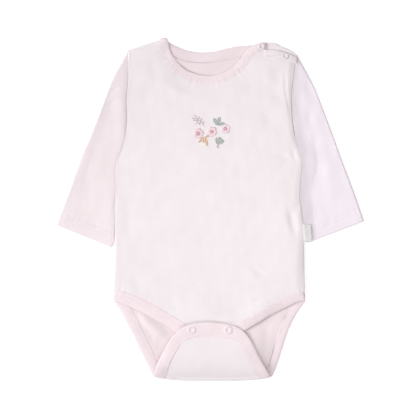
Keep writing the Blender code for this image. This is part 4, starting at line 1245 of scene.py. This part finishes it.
def hem_rings(grid):
    """The hem: the cloth turns in at the cuff and runs back inside the sleeve."""
    last = grid[-1]
    out = unit((last - grid[-2]) * (1.0, 1.0, 0.0))
    inward = np.cross(unit(np.roll(last, -1, axis=0) - np.roll(last, 1, axis=0)), out)
    inside = np.sign(((last.mean(axis=0) - last) * inward).sum(axis=1)).sum() > 0
    inward *= 1.0 if inside else -1.0
    rings = []
    for angle in np.radians([45.0, 90.0, 135.0, 180.0]):
        rings.append(last + out * 0.55 * math.sin(angle) + inward * 0.5 * (1.0 - math.cos(angle)))
    for back in np.linspace(2.5, HEM, 8):
        rings.append(last + inward - out * back)
    return np.array(rings)


def from_cuff(grid):
    """How far each point of a sleeve's grid is from the cuff."""
    steps = np.linalg.norm(np.diff(grid, axis=0), axis=2)
    return np.vstack([np.cumsum(steps[::-1], axis=0)[::-1], np.zeros((1, grid.shape[1]))])


def hem_dips(grid):
    """Twin rows of stitches press the hem in, with small ripples between them."""
    out = grid.copy()
    away = from_cuff(grid)
    for row in HEM_ROWS:
        dip = HEM_DIP * np.exp(-(((away - row) / HEM_DIP_HALF) ** 2))
        out[..., 2] -= np.where(out[..., 2] > SLEEVE_UPPER, dip, 0.0)
    around = np.arange(grid.shape[1])
    ripple = HEM_RIPPLE * np.sin(around * 0.9 + 0.7 * np.sin(around * 0.31))
    ripple = ripple * np.exp(-(((away - HEM_RIPPLE_AT) / HEM_RIPPLE_HALF) ** 2))
    out[..., 2] += np.where(out[..., 2] > SLEEVE_UPPER, ripple, 0.0)
    return out


def add_sleeves():
    """The sleeves, and their grids by name."""
    grids = {}
    for sleeve in SLEEVES:
        grid = hem_dips(sleeve_grid(sleeve))
        whole = np.concatenate([grid, hem_rings(grid)])[:, :: sleeve.side]
        piece = build(sleeve.name + "_cloth", whole, sleeve.cloth, INNER_JERSEY_PAINTED_SHADE, closed=True)
        finish_piece(piece, "sleeve_jersey", sleeve.name)
        grids[sleeve.name] = grid
    return grids


# ---- plackets, snaps and label

# A placket's section: share of its width, share of half its thickness
STRIP_SECTION = [
    (0, 0), (0.03, 0.6), (0.12, 0.95), (0.3, 1.05), (0.6, 1), (0.86, 0.9), (0.93, 0.8), (0.98, 0.6),
    (1, 0), (0.96, -0.8), (0.6, -1), (0.2, -1), (0.04, -0.7),
]


def add_strip(name, node, xs, first, second, height, thickness):
    """A strip along the shoulder between two edges, at a height that is a function of x and y."""
    rings = []
    for share, up in STRIP_SECTION:
        y = mix(first, second, share)
        rings.append(np.stack([xs, y, height(xs, y) + up * thickness / 2], axis=-1))
    piece = build(name, np.stack(rings, axis=1), BODY_JERSEY, closed=True, capped=True, thickness=0)
    finish_piece(piece, "jersey", node)


def placket_height(x, y):
    return front_height(x, y) + PLACKET_LIFT


def below_shoulder(x, distance, narrowing):
    """y below the front's left shoulder edge, at a distance that narrows to a share of it at the arm."""
    t = (x - PLACKET_ENDS[0]) / (PLACKET_ENDS[1] - PLACKET_ENDS[0])
    return SHOULDER_LEFT(x) - distance * mix(1.0, narrowing, t)


def add_plackets():
    xs = np.linspace(*PLACKET_ENDS, PLACKET_COLUMNS)
    edges = SHOULDER_LEFT(xs) + 0.2, below_shoulder(xs, PLACKET_WIDTH, 0.8)
    name, node = "shoulder_placket_over", "shoulder_placket_front"
    add_strip(name, node, xs, *edges, placket_height, PLACKET_THICK)
    xs = np.linspace(*UNDER_PLACKET_ENDS, PLACKET_COLUMNS)
    edges = SHOULDER_BACK(xs), SHOULDER_LEFT(np.maximum(xs, 63.0)) - UNDERLAP
    name, node = "shoulder_placket_under", "shoulder_placket_back"
    add_strip(name, node, xs, *edges, lambda x, y: np.full(np.shape(x), UNDER_PLACKET_MID), 1.5)


# A ring snap's outline from its hole to its rim, as share of that way and height in millimetres
SNAP_OUTLINE = [
    (0, -0.15), (0, 0.3), (0.1, 0.5), (0.26, 0.62), (0.42, 0.6), (0.5, 0.52), (0.58, 0.6), (0.74, 0.64),
    (0.9, 0.5), (0.98, 0.28), (1, -0.15),
]
# Upper faces that snaps sit on
TOPS = {
    "flap": lambda x, y: flap_height(x, y) + TAPE / 2 * 1.06,
    "band": lambda x, y: front_tape_mid(x, y) + NECK_TAPE / 2,
    "placket": lambda x, y: placket_height(x, y) + PLACKET_THICK / 2,
}


def upright_at(top, x, y, step=2.5):
    """The way that a surface faces at a point, from its slopes over a step each way."""

    def slope(step_x, step_y):
        ahead, behind = (top(np.array(x + s * step_x), np.array(y + s * step_y)) for s in (1, -1))
        return float(ahead - behind) / (2 * step)

    return Vector((-slope(step, 0.0), -slope(0.0, step), 1.0)).normalized()


def add_snap(spot):
    top = TOPS[spot.on]
    outline = [(mix(spot.hole, spot.radius, share), up) for share, up in SNAP_OUTLINE]
    rings = [
        [(radius * math.cos(angle), radius * math.sin(angle), up) for radius, up in outline]
        for angle in np.linspace(0.0, 2 * math.pi, 56, endpoint=False)
    ]
    turn = Vector((0.0, 0.0, 1.0)).rotation_difference(upright_at(top, spot.x, spot.y)).to_matrix()
    seat = np.array([spot.x, spot.y, float(top(np.array(spot.x), np.array(spot.y)))])
    grid = np.array(rings + rings[:1]) @ np.array(turn).T + seat
    piece = build(spot.name + "_ring", grid, SNAP_RING, closed=True, thickness=0)
    piece.modifiers.new("weld", "WELD").merge_threshold = 0.00001
    finish_piece(piece, "snap", spot.name)


def add_label(grid):
    """A blank folded tape out of the left side seam, lying over the left sleeve's inner edge."""
    points = grid[:, SLEEVE_TOP:].reshape(-1, 3)
    long, wide = 20, 14
    found = []
    for n in range(long + 1):
        y = mix(LABEL_TOP, LABEL_BOTTOM, n / long)
        start = float(body_side(y, 1)) - LABEL_IN_SEAM
        for m in range(wide + 1):
            x = start + LABEL_WIDTH * m / wide
            away = (points[:, 0] - x) ** 2 + (points[:, 1] - y) ** 2
            near = points[np.argsort(away)[:6], 2].max()
            curl = LABEL_CURL * (m / wide) ** 2 * math.sin(n / long * math.pi * 1.1 + 0.3)
            found.append((x, y - 0.02 * m, near + CLOTH / 2 + 0.1 + LABEL_CLOTH + curl))
    label = np.array(found).reshape(long + 1, wide + 1, 3)
    z = label[..., 2]
    for _ in range(4):
        z[1:-1] = (z[:-2] + z[1:-1] * 2 + z[2:]) / 4
        z[:, 1:-1] = (z[:, :-2] + z[:, 1:-1] * 2 + z[:, 2:]) / 4
    piece = build("side_label_tape", label, SATIN_PAINTED_SHADE, thickness=LABEL_CLOTH * 2)
    finish_piece(piece, "label", "side_label")


# ---- thread


class Thread:
    """Many short strands of thread, joined in one piece."""

    def __init__(self):
        self.verts = []
        self.faces = []

    def strand(self, points, radius, sides=6, ends=0.35):
        """A round strand along points that tapers at its ends."""
        along = unit(np.gradient(points, axis=0))
        side = unit(np.cross(along, (0.0, 0.0, 1.0)))
        up = np.cross(side, along)
        sizes = np.full(len(points), radius)
        sizes[[0, -1]] *= ends
        first = len(self.verts)
        last = first + (len(points) - 1) * sides
        for point, a, b, size in zip(points, side, up, sizes):
            for n in range(sides):
                angle = 2 * math.pi * n / sides
                self.verts.append(point + size * (math.cos(angle) * a + math.sin(angle) * b))
        for ring in range(first, last, sides):
            for n in range(sides):
                a, b = ring + n, ring + (n + 1) % sides
                self.faces.append((a, b, b + sides, a + sides))
        self.faces.append(tuple(reversed(range(first, first + sides))))
        self.faces.append(tuple(range(last, last + sides)))

    def piece(self, name, material, slot):
        finish_piece(add_mesh(name, self.verts, self.faces, material), slot)


STITCH_PITCH = 2.7
STITCH_LENGTH = 2.15
STITCH_RADIUS = 0.2
STITCH_AT = np.array([0.0, 0.2, 0.5, 0.8, 1.0])  # shares of a stitch, and how high it is there
STITCH_UP = np.array([-0.12, 0.1, 0.17, 0.1, -0.12])


def sew(thread, path):
    """A row of stitches along a path of points on the cloth."""
    lengths = lengths_along(path)
    count = int(lengths[-1] / STITCH_PITCH)
    for n in range(count):
        start = (n + 0.5) * lengths[-1] / count - STITCH_LENGTH / 2
        points = at_lengths(path, lengths, start + STITCH_LENGTH * STITCH_AT)
        points[:, 2] += STITCH_UP
        thread.strand(points, STITCH_RADIUS)


def tape_rows(tape, face=1):
    """The paths of a tape's two rows of stitches, on its upper face or its lower face (-1)."""
    for share, up in ((0.65, 0.9), (0.92, 0.86)):
        a = mix(tape.outer[:, :2], tape.inner, share)
        yield tape.place(a[:, 0], a[:, 1], np.full(len(a), up * face * tape.thick / 2))


def hem_path(grid, want):
    """The path over a sleeve's top at a distance from its cuff."""
    away = from_cuff(grid)
    path = []
    for n in range(SLEEVE_TOP, grid.shape[1]):
        path.append([np.interp(want, away[::-1, n], grid[::-1, n, k]) for k in range(3)])
    return np.array(path) + (0.0, 0.0, CLOTH / 2)


def add_stitches(grids):
    for tape in TAPES:
        thread = Thread()
        ends = 3 if tape is BACK_LEG_TAPE else 2
        for path in tape_rows(tape):
            sew(thread, path[ends:-ends])
        if tape is BACK_LEG_TAPE:
            for path in tape_rows(tape, -1):
                for part in (path[3:150], path[-150:-3]):
                    sew(thread, part[part[:, 1] > FOLD_LINE + 8.0])
        thread.piece(tape.name + "_stitches", THREAD, "rib")
    for name, grid in grids.items():
        thread = Thread()
        for row in HEM_ROWS:
            sew(thread, hem_path(grid, row)[2:-2])
        thread.piece(name + "_stitches", THREAD, "sleeve_jersey")
    thread = Thread()
    xs = np.linspace(PLACKET_ENDS[0] + 1.0, PLACKET_ENDS[1] - 1.0, 60)
    for inset in (1.4, 6.6):
        y = below_shoulder(xs, inset, 0.82)
        sew(thread, np.stack([xs, y, TOPS["placket"](xs, y)], axis=-1))
    thread.piece("placket_stitches", THREAD, "jersey")


# ---- embroidery

# A small spray: three blossoms in a row with leafy sprigs about them. A fan is leaves about a point, each
# with its heading, length and width.
Blossom = namedtuple("Blossom", "x y radius petals turn")
BLOSSOMS = rows(Blossom, (-13.0, 84.9, 6.6, 5, 10.0), (2.2, 87.0, 6.2, 5, 46.0), (17.4, 90.2, 6.0, 5, 22.0))
Sprig = namedtuple("Sprig", "colour points leaves leaf_length leaf_width")
SPRIGS = rows(
    Sprig,
    ("mauve", [(-6.4, 92.6), (-10.4, 97.6), (-15.8, 103.4)], 7, 4.0, 1.0),
    ("mauve", [(-10.6, 93.2), (-14.6, 97.4), (-18.4, 101.0)], 5, 3.2, 0.9),
)
Fan = namedtuple("Fan", "colour x y leaves")
OCHRE_LEAVES = [(28, 4.4, 2.8), (190, 6, 2.8), (216, 9, 3), (250, 6.4, 3.4), (284, 10, 3.4)]
FANS = rows(
    Fan,
    ("sage", 7.2, 94.4, [(112, 8, 4.2), (66, 9.4, 4.2), (14, 9, 3.6)]),
    ("sage", 8.0, 72.6, [(98, 7.6, 4), (66, 8.8, 4.6), (34, 8.6, 4.4)]),
    ("mauve", 8.2, 72.4, [(-82, 3.6, 2.6)]),
    ("ochre", -5.6, 80.6, OCHRE_LEAVES),
)
SILK = {
    "petal": (0.94, 0.765, 0.81),
    "heart": (0.83, 0.55, 0.60),
    "sage": (0.55, 0.60, 0.57),
    "ochre": (0.86, 0.65, 0.49),
    "mauve": (0.76, 0.66, 0.68),
}
STRAND = 0.24
SPRIG_SPREAD = 52.0  # degrees between a sprig's stem and its leaves
PETAL_STRANDS = 13
PETAL_SHARE = 0.49  # half of the share of its turn that a petal fills
PETAL_FROM = 0.28  # share of the blossom's radius where its petals start, and their reach at their sides
PETAL_SIDES = 0.76
KNOT_RADIUS = 0.3
HEART_RINGS = ((0.0, 1), (0.15, 6), (0.28, 11))  # share of the blossom's radius, knots


def on_chest(points, lift):
    x, y = points[:, 0], points[:, 1]
    return np.stack([x, y, front_height(x, y) + CLOTH / 2 + lift], axis=-1)


def toward(angle):
    return np.array([math.cos(angle), math.sin(angle)])


def satin(thread, start, end, count=4, lift=0.2, radius=STRAND):
    """A strand laid straight over the cloth, arched a little."""
    arch = lift + 0.25 * np.sin(np.linspace(0.0, math.pi, count))
    arch[0] = arch[-1] = 0.0
    thread.strand(on_chest(np.linspace(start, end, count), arch), radius, 5)


def leaf(thread, base, heading, length, width):
    """Satin stitches slanting from a leaf's middle vein to both its edges."""
    along = toward(heading)
    count = max(int(length / (STRAND * 1.8)), 3)
    for n in range(count):
        t = (n + 0.4) / count
        half = width / 2 * math.sin(math.pi * min(t * 0.9 + 0.08, 1.0)) ** 0.8
        for side in (-1, 1):
            start = base + along * length * t
            satin(thread, start, start + along * half * 0.9 + side * half * np.array([-along[1], along[0]]))


def add_sprig(thread, sprig):
    stem = curve_through(sprig.points, 12)
    for a, b in zip(stem[:-1:2], stem[2::2]):
        satin(thread, a, b, lift=0.15)
    path = curve_through(sprig.points, 40)
    last = sprig.leaves - 1
    for n in range(sprig.leaves):
        at = min(int((0.22 + 0.78 * n / last) * 40), 39)
        heading = math.atan2(*(path[at + 1] - path[at])[::-1])
        if n < last:
            heading += (1 if n % 2 else -1) * math.radians(SPRIG_SPREAD)
        leaf(thread, path[at], heading, sprig.leaf_length * (0.86 + 0.14 * (n % 3)), sprig.leaf_width)


def add_blossom(petals, heart, blossom):
    centre = np.array([blossom.x, blossom.y])
    for petal in range(blossom.petals):
        middle = math.radians(blossom.turn + 360.0 * petal / blossom.petals)
        for u in np.arange(PETAL_STRANDS) / (PETAL_STRANDS - 1) * 2 - 1:
            way = toward(middle + u * math.radians(360.0 / blossom.petals * PETAL_SHARE))
            reach = blossom.radius * mix(PETAL_SIDES, 1.0, math.cos(u * math.pi / 2) ** 0.7)
            start = centre + blossom.radius * PETAL_FROM * way
            satin(petals, start, centre + reach * way, 5, 0.06, STRAND * 1.05)
    turn = np.linspace(0.0, 2 * math.pi, 7)
    loop = KNOT_RADIUS * np.stack([np.cos(turn), np.sin(turn)], axis=-1)
    for share, knots in HEART_RINGS:
        for n in range(knots):
            knot = centre + blossom.radius * share * toward(2 * math.pi * n / knots)
            heart.strand(on_chest(knot + loop, 0.42), STRAND, 5, 1.0)


def add_embroidery():
    threads = {name: Thread() for name in SILK}
    for sprig in SPRIGS:
        add_sprig(threads[sprig.colour], sprig)
    for fan in FANS:
        for heading, length, width in fan.leaves:
            leaf(threads[fan.colour], np.array([fan.x, fan.y]), math.radians(heading), length, width)
    for blossom in BLOSSOMS:
        add_blossom(threads["petal"], threads["heart"], blossom)
    for name, thread in threads.items():
        look = plain_material("silk_" + name, SILK[name], 0.45, 2500.0, 0.25)
        thread.piece("embroidery_" + name, look, "jersey")


add_front()
add_back()
add_tapes()
sleeve_grids = add_sleeves()
add_plackets()
for spot in SNAPS:
    add_snap(spot)
add_label(sleeve_grids["left_sleeve"])
add_stitches(sleeve_grids)
add_embroidery()

# ---- floor, light, camera

PAPER_GLOW = {"Emission Color": (1.0, 1.0, 1.0, 1.0), "Emission Strength": 0.64}
FLOOR_CORNERS = [(4000 * x, 4000 * y, -0.3) for x, y in ((-1, -1), (1, -1), (1, 1), (-1, 1))]
paper = plain_material("floor_paper", (0.5, 0.5, 0.5), 0.9, 30.0, 0.0, 0.0, **PAPER_GLOW)
floor = add_mesh("floor", FLOOR_CORNERS, [(0, 1, 2, 3)], paper)
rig.stage(floor)


def add_lamp(name, kind, energy, shines):
    """A lamp that shines along a vector."""
    data = bpy.data.lights.new(name, kind)
    data.energy = energy
    lamp = add_object(name, data)
    lamp.rotation_mode = "QUATERNION"
    lamp.rotation_quaternion = Vector(shines).to_track_quat("-Z", "Y")
    return lamp


# The key light comes from a side, low over the table. Its strength is what a level surface gets.
tilt, heading = math.radians(KEY_TILT), math.radians(KEY_HEADING)
comes = Vector((math.sin(tilt) * math.cos(heading), math.sin(tilt) * math.sin(heading), math.cos(tilt)))
key = add_lamp("key", "SUN", KEY_LIGHT * math.pi / math.cos(tilt), -comes)
key.data.angle = math.radians(KEY_SPREAD)
strip = add_lamp("strip", "AREA", STRIP_POWER, (0.0, 0.0, -1.0))
strip.location = (0.0, -0.04, 0.60)
strip.data.shape = "RECTANGLE"
strip.data.size, strip.data.size_y = 1.2, 0.3
strip.visible_camera = False
world = bpy.data.worlds.new("studio")
bpy.context.scene.world = world
world.use_nodes = True
world.node_tree.nodes["Background"].inputs["Color"].default_value = (1.0, 1.0, 1.0, 1.0)
world.node_tree.nodes["Background"].inputs["Strength"].default_value = WORLD_LIGHT
bpy.context.scene.view_settings.view_transform = "Standard"

FIELD = PIXELS * PIXEL * MM
camera_data = bpy.data.cameras.new("camera")
camera_data.lens = LENS
camera_data.sensor_width = SENSOR
camera = add_object("camera", camera_data)
camera.location = (0.0, -0.5 * PIXEL * MM, 0.003 + FIELD * LENS / SENSOR)
bpy.context.scene.camera = camera

# ---- cloth sizes

# Each sheet as cut, without seam allowances: width, length and area in metres, how it is held, what it
# lies on and the separate pieces on it. A sleeve is its whole tube, with its hem. A tape is its folded
# width.
Sheet = namedtuple("Sheet", "width length area held rests_on pieces")
ON_FRONT = ["shoulder_placket_over", "placket_stitches", "shoulder_snap_arm_ring"]
ON_FRONT += ["embroidery_" + name for name in SILK]
ON_BAND = ["neckband_front_stitches", "shoulder_snap_neck_ring"]
ON_BACK_LEG = ["back_leg_stitches", "crotch_snap_right_ring", "crotch_snap_left_ring"]
SHEETS = {
    "front_cloth": Sheet(0.216, 0.334, 0.0581, "laid", ["back_cloth"], ON_FRONT),
    "back_cloth": Sheet(0.216, 0.450, 0.0750, "laid", ["floor"], []),
    "right_sleeve_cloth": Sheet(0.150, 0.226, 0.0196, "laid", ["floor"], ["right_sleeve_stitches"]),
    "left_sleeve_cloth": Sheet(0.152, 0.214, 0.0202, "laid", ["floor"], ["left_sleeve_stitches"]),
    "neckband_front_tape": Sheet(0.0100, 0.145, None, "folded", ["neckband_back_tape"], ON_BAND),
    "neckband_back_tape": Sheet(0.0140, 0.114, None, "folded", ["floor"], ["neckband_back_stitches"]),
    "front_leg_tape": Sheet(0.0124, 0.242, None, "folded", ["back_leg_tape"], ["front_leg_stitches"]),
    "back_leg_tape": Sheet(0.0129, 0.399, None, "folded", ["floor"], ON_BACK_LEG),
    "shoulder_placket_under": Sheet(0.0131, 0.0393, 0.00044, "laid", ["back_cloth"], []),
    "side_label_tape": Sheet(0.0104, 0.0200, None, "folded", ["left_sleeve_cloth"], []),
}
for name, sheet in SHEETS.items():
    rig.sheet(
        bpy.data.objects[name],
        flat=(sheet.width, sheet.length),
        held=sheet.held,
        rests_on=sheet.rests_on,
        area=sheet.area,
        with_pieces=[bpy.data.objects[piece] for piece in sheet.pieces],
    )

with open("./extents.json", "w") as out:
    json.dump({"cad": [list(corner) for corner in CAD_BOX], "visual": [list(corner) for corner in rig.bounds()]}, out)
